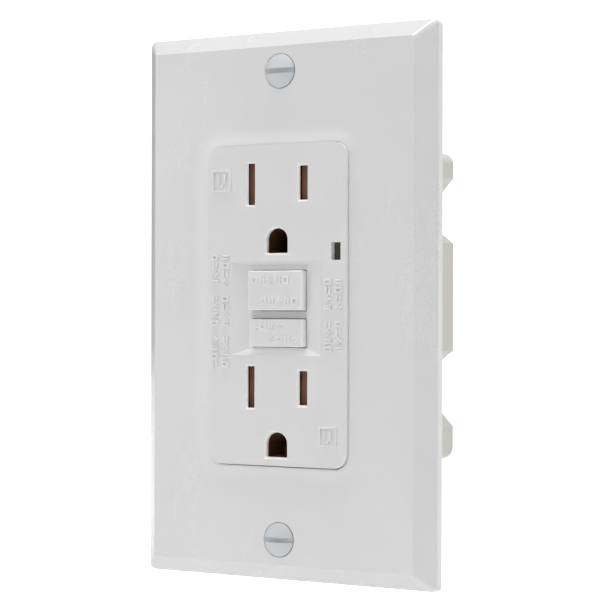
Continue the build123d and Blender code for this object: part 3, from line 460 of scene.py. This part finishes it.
coverSizes = {"half": (16.7, 33.15), "corner": 3.0, "front": -6.8, "back": -4.6, "foot": -1.4,
              "inside": (14.9, 32.4), "insideCorner": 2.1, "lines": (25.1, -17.0),
              "slotX": 6.33, "slotWidth": (0.8, 0.92), "neutral": 4.3, "hot": 3.5, "lead": 0.5,
              "lip": 0.64, "relief": 1.05, "step": 0.1, "slotCorner": 0.12, "footCorner": 0.25,
              "groundDrop": 11.7, "ground": 2.45, "groundFoot": 2.65, "groundLead": 0.5,
              "groundLip": 1.1, "groundRelief": 0.75,
              "mouth": (10.75, -10.3, 9.0), "floor": (6.9, -9.0, 8.3), "floorY": -5.6,
              "windows": ((-1.25, 7.25), (-8.75, -2.75)), "windowHalf": 6.65,
              "lamp": (14.14, 10.95), "lampHalf": (1.08, 1.8), "lampRoom": (1.55, 1.97),
              "flange": (21.2, 33.1), "flangeFront": -3.1, "skirt": (19.4, 21.2), "skirtEnd": 3.0,
              "skirtHalf": 30.15, "post": (17.8, 29.3), "postRadius": 2.4,
              "flangeHole": (15.6, 32.0), "edgeSoft": 0.75, "mouthSoft": 0.16}
sleevePlaces = ((-0.15, -3.6), (-0.32, -0.2), (-0.15, -0.2), (-0.02, -1.5), (0.3, -1.6), (0.62, -3.0))


lipCurve = ((1.0, 0.0), (0.62, 0.22), (0.2, 0.65), (0.0, 1.0))     # how far out and how deep, of the lead


def lipPlaces(lead, front, lip):
    # the sizes and depths of a sloping lip, which ends in a short straight edge
    return [(lead * out, front + lead * deep) for out, deep in lipCurve] + [(0.0, front + lip)]


def slotWell(bm, x, z, width, halfHeight, sizes):
    # a sloping lip, then a wider room behind it where the shutter shows
    half, corner = (width, halfHeight), sizes["slotCorner"]
    rings = [ring(bm, grown(half, extra), corner + extra * 0.5, y, (x, z), 3)
             for extra, y in lipPlaces(sizes["lead"], sizes["front"], sizes["lip"])]
    roomFront = sizes["front"] + sizes["lip"] + sizes["step"]
    room = grown(half, sizes["relief"])
    rings += [ring(bm, room, corner, y, (x, z), 3) for y in (roomFront, sizes["back"])]
    stack(bm, rings)
    return rings[0], rings[-1]


def groundOutline(bm, extra, y, z, sizes):
    radius, foot = sizes["ground"], sizes["groundFoot"]
    half = (radius, (radius + foot) / 2)
    corners = (sizes["footCorner"], radius + extra - sizes["slotCorner"])
    return ring(bm, grown(half, extra), corners, y, (0.0, z + (radius - foot) / 2), 12)


def groundWell(bm, z, sizes):
    front, lip, wide = sizes["front"], sizes["groundLip"], sizes["groundRelief"]
    places = lipPlaces(sizes["groundLead"], front, lip)
    places += [(wide, front + lip + sizes["step"]), (wide, sizes["back"])]
    rings = [groundOutline(bm, extra, y, z, sizes) for extra, y in places]
    stack(bm, rings)
    return rings[0], rings[-1]


def makeGroundSleeves(sizes):
    # dark sleeves that lead the ground pin from the cover to its contact
    bm = bmesh.new()
    start = sizes["front"] + sizes["groundLip"] + 0.15
    for line in sizes["lines"]:
        z = line - sizes["groundDrop"]
        places = ((0.04, start), (0.0, start + 0.1)) + sleevePlaces + ((sleevePlaces[-1][0], start),)
        rings = [groundOutline(bm, extra, y, z, sizes) for extra, y in places]
        stack(bm, rings + [rings[0]])
    finishPiece("groundSleeves", bm, "housing", "receptacle", [])


def rectangle(bm, half, low, high, y, corner=0.15):
    return ring(bm, (half, (high - low) / 2), corner, y, (0.0, (low + high) / 2), 2)


def bars(bm, places, size, front, back):
    # small raised bars, at (x, z)
    for x, z in places:
        brick(bm, (x - size[0] / 2, x + size[0] / 2), (front, back),
              (z - size[1] / 2, z + size[1] / 2), 0.13, 2)


def makeFrontCover(sizes):
    bm = bmesh.new()
    front, back, foot = sizes["front"], sizes["back"], sizes["foot"]
    outer = [ring(bm, sizes["half"], sizes["corner"], y, steps=10) for y in (foot, front)]
    inner = [ring(bm, sizes["inside"], sizes["insideCorner"], y, steps=10) for y in (foot, back)]
    stack(bm, outer)
    stack(bm, inner)
    fill(bm, outer[0], inner[0])
    mouths, throats = [], []
    for line in sizes["lines"]:
        for side, width, halfHeight in zip((-1, 1), sizes["slotWidth"], (sizes["neutral"], sizes["hot"])):
            mouth, throat = slotWell(bm, side * sizes["slotX"], line, width, halfHeight, sizes)
            mouths.append(mouth)
            throats.append(throat)
        mouth, throat = groundWell(bm, line - sizes["groundDrop"], sizes)
        mouths.append(mouth)
        throats.append(throat)
    lamp = [ring(bm, grown(sizes["lampHalf"], extra), 0.1, y, sizes["lamp"], 2)
            for extra, y in ((0.22, front), (0.06, front + 0.08), (0.0, front + 0.24), (0.0, -5.3))]
    lamp += [ring(bm, sizes["lampRoom"], 0.1, y, (14.1, sizes["lamp"][1]), 2) for y in (-5.25, back)]
    stack(bm, lamp)
    slope = rectangle(bm, *sizes["mouth"], front, 0.25)
    floor = rectangle(bm, *sizes["floor"], sizes["floorY"], 0.1)
    stack(bm, [slope, floor])
    windows = []
    for low, high in sizes["windows"]:
        window = [rectangle(bm, sizes["windowHalf"], low, high, y, 0.12) for y in (sizes["floorY"], back)]
        stack(bm, window)
        windows.append(window)
    fill(bm, outer[1], slope, lamp[0], *mouths)
    fill(bm, floor, *[window[0] for window in windows])
    fill(bm, inner[1], lamp[-1], *throats, *[window[1] for window in windows])
    soften(bm, outer[1], sizes["edgeSoft"], 7)
    soften(bm, slope, sizes["mouthSoft"], 3)
    makeCoverFeet(bm, sizes)
    makeCoverMarks(bm, front)
    paintLightAndShade(bm, coverPaintedLight)
    return finishPiece("frontCover", bm, "face", "receptacle", ["front_cover"])


# Places of the painted shades, in millimetres: depths run from the face into the cover
paintedLightZones = {"lip": (0.02, 0.78), "markFoot": (0.02, 0.7), "markCrown": (-0.37, -0.02),
              "markX": (11.0, 15.92), "markZ": 30.0, "lowMark": (10.2, -24.0),
              "lampX": 12.5, "lampZ": (8.8, 13.1), "crossbar": (6.7, -2.8, -1.2), "crossbarDepth": 1.1,
              "slope": (-10.4, -8.95), "slopeDepth": (0.02, 1.22)}


def within(value, limits):
    return limits[0] < value < limits[1]


def coverPaintedLight(co):
    # painted highlights on the lips, edges, mark crowns and the lower slope under the buttons; painted
    # shade at the feet of the marks and on the bar between the buttons
    zones, depth = paintedLightZones, co.y - coverSizes["front"]
    lamp = co.x > zones["lampX"] and within(co.z, zones["lampZ"])
    lowMark = co.x > zones["lowMark"][0] and co.z < zones["lowMark"][1]
    marked = (within(abs(co.x), zones["markX"]) or lowMark) and abs(co.z) < zones["markZ"] and not lamp
    if marked:
        # painted shade at the feet of the raised marks, painted highlight on their crowns
        return -1.0 if within(depth, zones["markFoot"]) else 0.8 * within(depth, zones["markCrown"])
    # painted shade on the bar between the two button windows
    half, low, high = zones["crossbar"]
    if abs(co.x) < half and low < co.z < high and depth > zones["crossbarDepth"]:
        return -0.3
    # painted highlight on the lower slope of the button recess, as if lit from above
    if within(co.z, zones["slope"]) and within(depth, zones["slopeDepth"]):
        return 1.0
    # painted highlight on the lips of the slots and holes and on the rounded front edge
    return 1.0 if within(depth, zones["lip"]) else 0.0


def makeCoverFeet(bm, sizes):
    # the hidden flange, the two skirts and the screw posts
    flange = [ring(bm, sizes["flange"], 3.0, y, steps=8) for y in (sizes["foot"], sizes["flangeFront"])]
    hole = [ring(bm, sizes["flangeHole"], 2.4, y, steps=8) for y in (sizes["flangeFront"], sizes["foot"])]
    stack(bm, flange)
    stack(bm, hole)
    fill(bm, flange[1], hole[0])
    fill(bm, flange[0], hole[1])
    soften(bm, flange[1], 0.3, 3)
    for side in (-1, 1):
        xs = sorted(side * x for x in sizes["skirt"])
        brick(bm, xs, (sizes["foot"], sizes["skirtEnd"]), (-sizes["skirtHalf"], sizes["skirtHalf"]), 0.2)
        for end in (-1, 1):
            at = (side * sizes["post"][0], end * sizes["post"][1])
            radius, rear = sizes["postRadius"], sizes["skirtEnd"]
            turned(bm, ((radius, sizes["foot"]), (radius, rear - 0.2), (radius - 0.2, rear)), at, 28)


markSizes = {"stroke": 0.46, "root": 0.9, "lift": 0.4, "half": (0.6, 0.42), "pitch": 1.72, "group": 5,
             "columns": ((-15.0, -12.4, 15), (-12.4, -12.4, 15), (12.5, -9.0, 10), (15.0, -9.0, 10)),
             "signs": ((-13.45, 26.0, 1.0), (12.4, -26.75, 0.88)), "signRoot": 0.5}


def glyph(bm, kind, x, z, half, front):
    # one raised mark of a row, made of bars: a frame, two uprights, a cross or two level bars
    wide, tall = half
    stroke, back = markSizes["stroke"], front + markSizes["root"]
    level, upright = (2 * wide + stroke, stroke), (stroke, 2 * tall + stroke)
    if kind == 0:
        bars(bm, [(x, z - tall), (x, z + tall)], level, front, back)
        bars(bm, [(x - wide, z), (x + wide, z)], (stroke, 2 * tall), front, back)
    elif kind == 1:
        bars(bm, [(x - wide * 0.7, z), (x + wide * 0.7, z)], upright, front, back)
    elif kind == 2:
        bars(bm, [(x, z)], level, front, back)
        bars(bm, [(x, z)], upright, front, back)
    else:
        bars(bm, [(x, z - tall * 0.6), (x, z + tall * 0.6)], level, front, back)


def makeCoverMarks(bm, front):
    # rows of plain shapes in place of words, and a small sign of a shuttered outlet at two corners
    lift, root = front - markSizes["lift"], front + markSizes["signRoot"]
    for x, low, count in markSizes["columns"]:
        for step in range(count):
            if step % markSizes["group"] != markSizes["group"] - 1:
                kind = (step * 3 + round(x)) % 4
                glyph(bm, kind, x, low + markSizes["pitch"] * step, markSizes["half"], lift)
    for x, z, size in markSizes["signs"]:
        glyph(bm, 0, x, z, (2.1 * size, 2.1 * size), lift)
        blades = [(x + side * 0.8 * size, z + 0.4 * size) for side in (-1, 1)]
        bars(bm, blades, (0.5, 1.9 * size), lift, root)
        bars(bm, [(x, z - 1.2 * size)], (0.8, 0.6), lift, root)


makeFrontCover(coverSizes)
makeGroundSleeves(coverSizes)
print("front cover made")

# Buttons: a soft-edged cap, the hidden shoulders and raised marks in place of words

buttonSizes = {"half": 6.5, "edge": 0.5, "shoulder": 7.4, "shoulderY": (-4.5, -3.55), "sink": 0.34,
               "reset": (-1.1, 7.1, -7.85), "test": (-8.6, -2.9, -7.45), "stemEnd": 1.9}


def makeButton(bm, low, high, front, sizes):
    middle = (low + high) / 2
    half = (sizes["half"], (high - low) / 2)
    top = front + sizes["sink"]
    rings = [ring(bm, half, 0.3, y, (0.0, middle), 4) for y in (sizes["shoulderY"][1], top)]
    stack(bm, rings)
    fill(bm, rings[0])
    bmesh.ops.edgeloop_fill(bm, edges=rings[1])
    soften(bm, rings[1], sizes["edge"], 6)
    brick(bm, (-sizes["shoulder"], sizes["shoulder"]), sizes["shoulderY"], (low, high), 0.15)


def buttonPaintedLight(co, low, high, top):
    # painted shade at the feet of the raised marks, painted highlight on their crowns and on the rounded
    # edge of the cap
    depth = co.y - top
    if abs(co.x) < 5.95 and low + 0.6 < co.z < high - 0.6:
        return -1.0 if 0.02 < depth < 0.8 else 0.8 * (-0.32 < depth < -0.02)
    return 1.0 if 0.02 < depth < 0.55 else 0.0


def makeButtons(sizes):
    low, high, front = sizes["reset"]
    top = front + sizes["sink"]
    bm = bmesh.new()
    makeButton(bm, low, high, front, sizes)
    for step, kind in enumerate((0, 1, 2, 1, 0)):
        glyph(bm, kind, -4.8 + 1.9 * step, high - 1.95, (0.5, 0.55), front)
        glyph(bm, kind, -2.6 + 1.9 * step, low + 1.95, (0.5, 0.55), front)
    paintLightAndShade(bm, lambda co: buttonPaintedLight(co, low, high, top))
    finishPiece("resetButton", bm, "button", "reset_button", ["reset_button"])
    low, high, front = sizes["test"]
    bm = bmesh.new()
    makeButton(bm, low, high, front, sizes)
    for step, kind in enumerate((2, 0, 1, 2)):
        glyph(bm, kind, -4.8 + 1.9 * step, high - 1.6, (0.5, 0.45), front)
        glyph(bm, kind, -0.9 + 1.9 * step, low + 1.6, (0.5, 0.45), front)
    stem = ((0.8, -3.7), (0.8, sizes["stemEnd"] - 0.3), (0.5, sizes["stemEnd"]))
    turned(bm, stem, (0.0, (low + high) / 2), 24)
    top = front + sizes["sink"]
    paintLightAndShade(bm, lambda co: buttonPaintedLight(co, low, high, top))
    finishPiece("testButton", bm, "button", "test_button", ["test_button"])


makeButtons(buttonSizes)
print("buttons made")

# Screws: a turned head and core, a ridge wound round the core, and a slot cut across the head

plateScrew = {"profile": ((0.5, -6.434), (1.2, -6.356), (1.9, -6.21), (2.5, -6.03), (3.0, -5.835),
                          (3.3, -5.70), (3.44, -5.62), (3.48, -5.56), (3.42, -5.48), (1.75, -3.587),
                          (1.45, -3.3), (1.45, 6.7), (1.1, 7.0)),
              "core": 1.45, "ridge": 0.3, "pitch": 0.794, "thread": (-3.1, 6.5),
              "slotY": -5.35, "across": False}
deviceScrew = {"profile": ((0.6, -3.1), (2.1, -3.1), (2.55, -3.04), (2.9, -2.86), (3.12, -2.6),
                           (3.2, -2.3), (3.2, -1.5), (3.1, -1.4), (1.70, -1.4), (1.70, 1.0),
                           (1.45, 1.2), (1.45, 23.5), (1.0, 24.0)),
               "core": 1.45, "ridge": 0.3, "pitch": 0.794, "thread": (1.4, 23.4),
               "slotY": -2.0, "across": False}
bindingScrew = {"profile": ((0.8, -2.7), (2.6, -2.7), (3.15, -2.62), (3.5, -2.4), (3.67, -2.05),
                            (3.7, -1.7), (3.7, -0.15), (3.55, 0.0), (1.72, 0.0), (1.72, 6.45),
                            (1.4, 6.8)),
                "core": 1.72, "ridge": 0.33, "pitch": 0.8, "thread": (0.4, 6.2),
                "slotY": -1.6, "across": True}
groundScrew = {"profile": ((0.8, -2.4), (2.4, -2.4), (2.95, -2.33), (3.3, -2.12), (3.47, -1.8),
                           (3.5, -1.5), (3.5, -0.15), (3.35, 0.0), (1.62, 0.0), (1.62, 5.0),
                           (1.3, 5.3)),
               "core": 1.62, "ridge": 0.33, "pitch": 0.8, "thread": (0.4, 4.8),
               "slotY": -1.3, "across": True}
caseScrew = {"profile": ((0.5, -1.5), (1.6, -1.5), (2.0, -1.42), (2.24, -1.18), (2.3, -0.9),
                         (2.3, -0.1), (2.2, 0.0), (1.15, 0.0), (1.15, 28.5), (0.7, 29.0)),
             "core": 1.15, "ridge": 0.25, "pitch": 1.0, "thread": (1.0, 27.9),
             "slotY": -0.75, "across": False}


def makeScrew(bm, sizes, slotHalf=0.52):
    # along Y, with its head towards the room
    part = bmesh.new()
    turned(part, sizes["profile"], (0.0, 0.0), 48)
    cutter = bmesh.new()
    long, deep = (-6.0, 6.0), (sizes["profile"][0][1] - 2.0, sizes["slotY"])
    narrow = (-slotHalf, slotHalf)
    brick(cutter, narrow if sizes["across"] else long, deep, long if sizes["across"] else narrow, 0)
    cutAway(part, cutter)
    start, end = sizes["thread"]
    ridge, pitch = sizes["ridge"], sizes["pitch"]
    verts = helix(part, ridge, 4, sizes["core"], pitch, (end - start) / pitch, 24, 0.42 * pitch / ridge)
    turnedBy(part, verts, Matrix.Rotation(-math.pi / 2, 3, "X"), 0.0, start, 0.0)
    bmesh.ops.dissolve_degenerate(part, dist=0.0005, edges=part.edges)
    kept = bpy.data.meshes.new("part")
    part.to_mesh(kept)
    part.free()
    old = set(bm.verts)
    bm.from_mesh(kept)
    bpy.data.meshes.remove(kept)
    return [v for v in bm.verts if v not in old]


def makeFrontScrews(name, sizes, spacing, look, node):
    bm = bmesh.new()
    for side in (-1, 1):
        verts = makeScrew(bm, sizes)
        bmesh.ops.translate(bm, vec=(0.0, 0.0, side * spacing), verts=verts)
    finishPiece(name, bm, look, "receptacle", [node])


def makeSideScrew(name, sizes, headX, side, y, z, look, node):
    bm = bmesh.new()
    verts = makeScrew(bm, sizes)
    turnedBy(bm, verts, Matrix.Rotation(side * math.pi / 2, 3, "Z"), side * headX, y, z)
    finishPiece(name, bm, look, node, [node])


def makeCaseScrews(sizes):
    bm = bmesh.new()
    postX, postZ = coverSizes["post"]
    for x in (-postX, postX):
        for z in (-postZ, postZ):
            verts = makeScrew(bm, sizes, 0.4)
            turnedBy(bm, verts, Matrix.Rotation(math.pi, 3, "X"), x, 28.6, z)
    finishPiece("caseScrews", bm, "zinc", "receptacle", ["case_screws"])


makeFrontScrews("plateScrews", plateScrew, plateSizes["screwZ"], "enamel", "plate_screws")
makeFrontScrews("deviceScrews", deviceScrew, 41.67, "zinc", "device_screws")
for end, z in (("load", 20.05), ("line", -17.375)):
    makeSideScrew(end + "HotScrew", bindingScrew, 16.9, 1, 19.0, z, "brassScrew",
                  end + "_hot_screw")
    makeSideScrew(end + "NeutralScrew", bindingScrew, 16.9, -1, 19.0, z, "silverScrew",
                  end + "_neutral_screw")
makeSideScrew("groundScrew", groundScrew, 11.0, -1, 5.6, -38.2, "greenScrew", "ground_screw")
makeCaseScrews(caseScrew)
print("screws made")

# Springs, wound from wire

springs = {
    "resetSpring": {"wire": 0.3, "radius": 2.2, "length": 7.65, "turns": 6.5, "axis": "Y",
                    "at": (0.0, -3.55, 3.0), "joint": "reset_press", "keep": 0.739, "node": "reset_spring"},
    "plungerSpring": {"wire": 0.25, "radius": 2.75, "length": 3.0, "turns": 3.5, "axis": "Z",
                      "at": (0.0, 22.0, 10.6), "joint": "plunger_pull", "keep": 0.3334,
                      "node": "plunger_spring"},
    "upperShutterSpring": {"wire": 0.13, "radius": 0.47, "length": 5.5, "turns": 10.0, "axis": "X",
                           "at": (9.4, -3.75, 25.1), "joint": "upper_shutter_slide", "keep": 0.4546,
                           "node": "upper_shutter_spring"},
    "lowerShutterSpring": {"wire": 0.13, "radius": 0.47, "length": 5.5, "turns": 10.0, "axis": "X",
                           "at": (9.4, -3.75, -17.0), "joint": "lower_shutter_slide", "keep": 0.4546,
                           "node": "lower_shutter_spring"},
}
turnsTo = {"X": Matrix.Rotation(math.pi / 2, 3, "Y"), "Y": Matrix.Rotation(-math.pi / 2, 3, "X"),
           "Z": Matrix.Identity(3)}


def makeSpring(name, sizes):
    bm = bmesh.new()
    rise = (sizes["length"] - 2 * sizes["wire"]) / sizes["turns"]
    verts = helix(bm, sizes["wire"], 10, sizes["radius"], rise, sizes["turns"], 32)
    bmesh.ops.translate(bm, vec=(0.0, 0.0, sizes["wire"]), verts=verts)
    turnedBy(bm, verts, turnsTo[sizes["axis"]], *sizes["at"])
    piece = finishPiece(name, bm, "spring", "receptacle", [sizes["node"]], 60.0)
    axis = Vector([letter == sizes["axis"] for letter in "XYZ"])
    anchor = (Vector(sizes["at"]) + axis * sizes["length"]) * 0.001
    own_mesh(piece)


for name, sizes in springs.items():
    makeSpring(name, sizes)
print("springs made")

# Windings: the solenoid's coil and the two ring cores of the sensing transformers

coilSizes = {"outer": 5.0, "inner": 2.85, "wire": 0.17, "y": 22.0}
coreSizes = {"inner": 3.6, "count": 44, "thick": 0.34}


def makeCoil(sizes):
    low, high = (corner.z * 1000 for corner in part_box("solenoid_coil"))
    bm = bmesh.new()
    body = sizes["outer"] - sizes["wire"]
    rings = [circle(bm, radius, y, (0.0, 0.0), 48)
             for radius, y in ((sizes["inner"], low), (body, low), (body, high), (sizes["inner"], high))]
    stack(bm, rings + [rings[0]])
    turnedBy(bm, list(bm.verts), frontTurn, 0.0, 0.0, 0.0)
    turns = math.floor((high - low - 2 * sizes["wire"]) / (2 * sizes["wire"]))
    verts = helix(bm, sizes["wire"], 6, body, 2 * sizes["wire"], turns, 36)
    bmesh.ops.translate(bm, vec=(0.0, 0.0, low + sizes["wire"]), verts=verts)
    bmesh.ops.translate(bm, vec=(0.0, sizes["y"], 0.0), verts=bm.verts)
    finishPiece("solenoidCoil", bm, "copper", "receptacle", ["solenoid_coil"], 60.0)


def makeCore(name, node, sizes):
    low, high = (corner.y * 1000 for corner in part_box(node))
    bottom, top = (corner.z * 1000 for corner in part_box(node))
    outer = (top - bottom) / 2
    middle, half = (outer + sizes["inner"]) / 2, (outer - sizes["inner"]) / 2
    bm = bmesh.new()
    section = ring(bm, (half - 0.12, (high - low) / 2 - 0.12), 0.7, 0.0, (middle, 0.0), 3)
    bmesh.ops.spin(bm, geom=section + list({v for e in section for v in e.verts}), cent=(0.0, 0.0, 0.0),
                   axis=(0.0, 0.0, 1.0), angle=2 * math.pi, steps=48, use_merge=True)
    loop = ring(bm, (half, (high - low) / 2), 0.8, -sizes["thick"] / 2, (middle, 0.0), 3)
    other = ring(bm, (half, (high - low) / 2), 0.8, sizes["thick"] / 2, (middle, 0.0), 3)
    stack(bm, [loop, other])
    for edges in (loop, other):
        bmesh.ops.edgeloop_fill(bm, edges=edges)
    verts = {v for e in loop + other for v in e.verts}
    faces = list({f for v in verts for f in v.link_faces})
    edges = list({e for v in verts for e in v.link_edges})
    bmesh.ops.spin(bm, geom=list(verts) + edges + faces, cent=(0.0, 0.0, 0.0), axis=(0.0, 0.0, 1.0),
                   angle=2 * math.pi * (sizes["count"] - 1) / sizes["count"],
                   steps=sizes["count"] - 1, use_duplicate=True)
    turnedBy(bm, list(bm.verts), frontTurn, 0.0, (low + high) / 2, (bottom + top) / 2)
    finishPiece(name, bm, "copper", "receptacle", [node], 50.0)


makeCoil(coilSizes)
makeCore("senseCore", "sense_transformer", coreSizes)
makeCore("neutralCore", "neutral_transformer", coreSizes)
print("windings made")

# The other solids keep their own meshes, with soft edges and their own finish

# the ground contacts are brass, given the darkened brass that paints the shade deep in their holes
nodeLooks = {"upper_ground_contact": "shadedBrass", "lower_ground_contact": "shadedBrass"}
edgeWidths = {"rear_case": 0.3, "middle_housing": 0.15, "mounting_strap": 0.12, "circuit_board": 0.08}


def dressNodes(widths):
    finish = {row["node"]: row["material_slot"] for row in frame["record"]["subparts"]}
    for name, node in frame["nodes"].items():
        if node.hide_render:
            continue
        node.data.materials.clear()
        node.data.materials.append(looks[nodeLooks.get(name, slotLooks[finish[name]])])
        flatten = node.modifiers.new("flatten", "DECIMATE")
        flatten.decimate_type = "DISSOLVE"
        flatten.angle_limit = math.radians(1.0)
        edge = node.modifiers.new("edge", "BEVEL")
        edge.width = widths.get(name, 0.08) * 0.001
        edge.segments = 2
        edge.limit_method = "ANGLE"
        edge.angle_limit = math.radians(40.0)
        edge.use_clamp_overlap = True
        edge.harden_normals = True


dressNodes(edgeWidths)
print("other nodes dressed")

# Floor, backdrop and lights

worldGlow = 0.16
floorGlow = 0.042
backdropGlow = 0.85
lights = {
    "key": {"at": (0.0, -0.85, 0.72), "size": (1.0, 0.5), "power": 2.6, "colour": (1.0, 1.0, 1.0)},
    "top": {"at": (0.05, -0.1, 1.1), "size": (0.9, 0.3), "power": 9.8, "colour": (1.0, 1.0, 1.0)},
    "right": {"at": (1.1, -0.35, 0.1), "size": (0.8, 1.2), "power": 1.95, "colour": (1.0, 0.98, 0.95)},
    "left": {"at": (-0.85, -0.75, 0.05), "size": (0.5, 1.2), "power": 2.3, "colour": (1.0, 0.99, 0.99)},
}


def makeStage():
    # the paper glows a little under the object and is white behind it
    material, shader, at = startMaterial("paper")
    cloud = at.noise(3.0, 2.0, 0.5)
    connect(shader, "Base Color", cloud.mixed(colourOf(0.86, 0.86, 0.86), colourOf(0.89, 0.89, 0.89)))
    connect(shader, "Roughness", 0.9)
    depth = at.node("ShaderNodeSeparateXYZ", None, 1, Vector=at).between(0.18, 0.36)
    near, far = (colourOf(glow, glow, glow) for glow in (floorGlow, backdropGlow))
    connect(shader, "Emission Color", depth.mixed(near, far))
    connect(shader, "Emission Strength", 1.0)
    bm = bmesh.new()
    bmesh.ops.create_grid(bm, x_segments=1, y_segments=1, size=2.4)
    bmesh.ops.translate(bm, vec=(0.0, 0.0, -0.11), verts=bm.verts)
    far = [e for e in bm.edges if all(v.co.y > 1.0 for v in e.verts)]
    raised = bmesh.ops.extrude_edge_only(bm, edges=far)["geom"]
    upper = [part for part in raised if isinstance(part, bmesh.types.BMVert)]
    bmesh.ops.translate(bm, vec=(0.0, 0.0, 3.0), verts=upper)
    soften(bm, far, 0.9, 16)
    paper = asObject(bm, "paper")
    bm.free()
    paper.data.shade_smooth()
    paper.data.materials.append(material)


def makeLight(name, sizes):
    data = bpy.data.lights.new(name, "AREA")
    data.shape = "RECTANGLE"
    data.size, data.size_y = sizes["size"]
    data.energy = sizes["power"]
    data.color = sizes["colour"]
    light = bpy.data.objects.new(name, data)
    bpy.context.scene.collection.objects.link(light)
    light.location = sizes["at"]
    light.rotation_mode = "QUATERNION"
    light.rotation_quaternion = (-Vector(sizes["at"])).to_track_quat("-Z", "Y")


def makeWorld(strength):
    world = bpy.data.worlds.new("world")
    world.use_nodes = True
    background = world.node_tree.nodes["Background"]
    background.inputs["Color"].default_value = (1.0, 1.0, 1.0, 1.0)
    background.inputs["Strength"].default_value = strength
    bpy.context.scene.world = world


makeStage()
for name, sizes in lights.items():
    makeLight(name, sizes)
makeWorld(worldGlow)
bpy.context.scene.view_settings.view_transform = "Standard"
print("stage made")
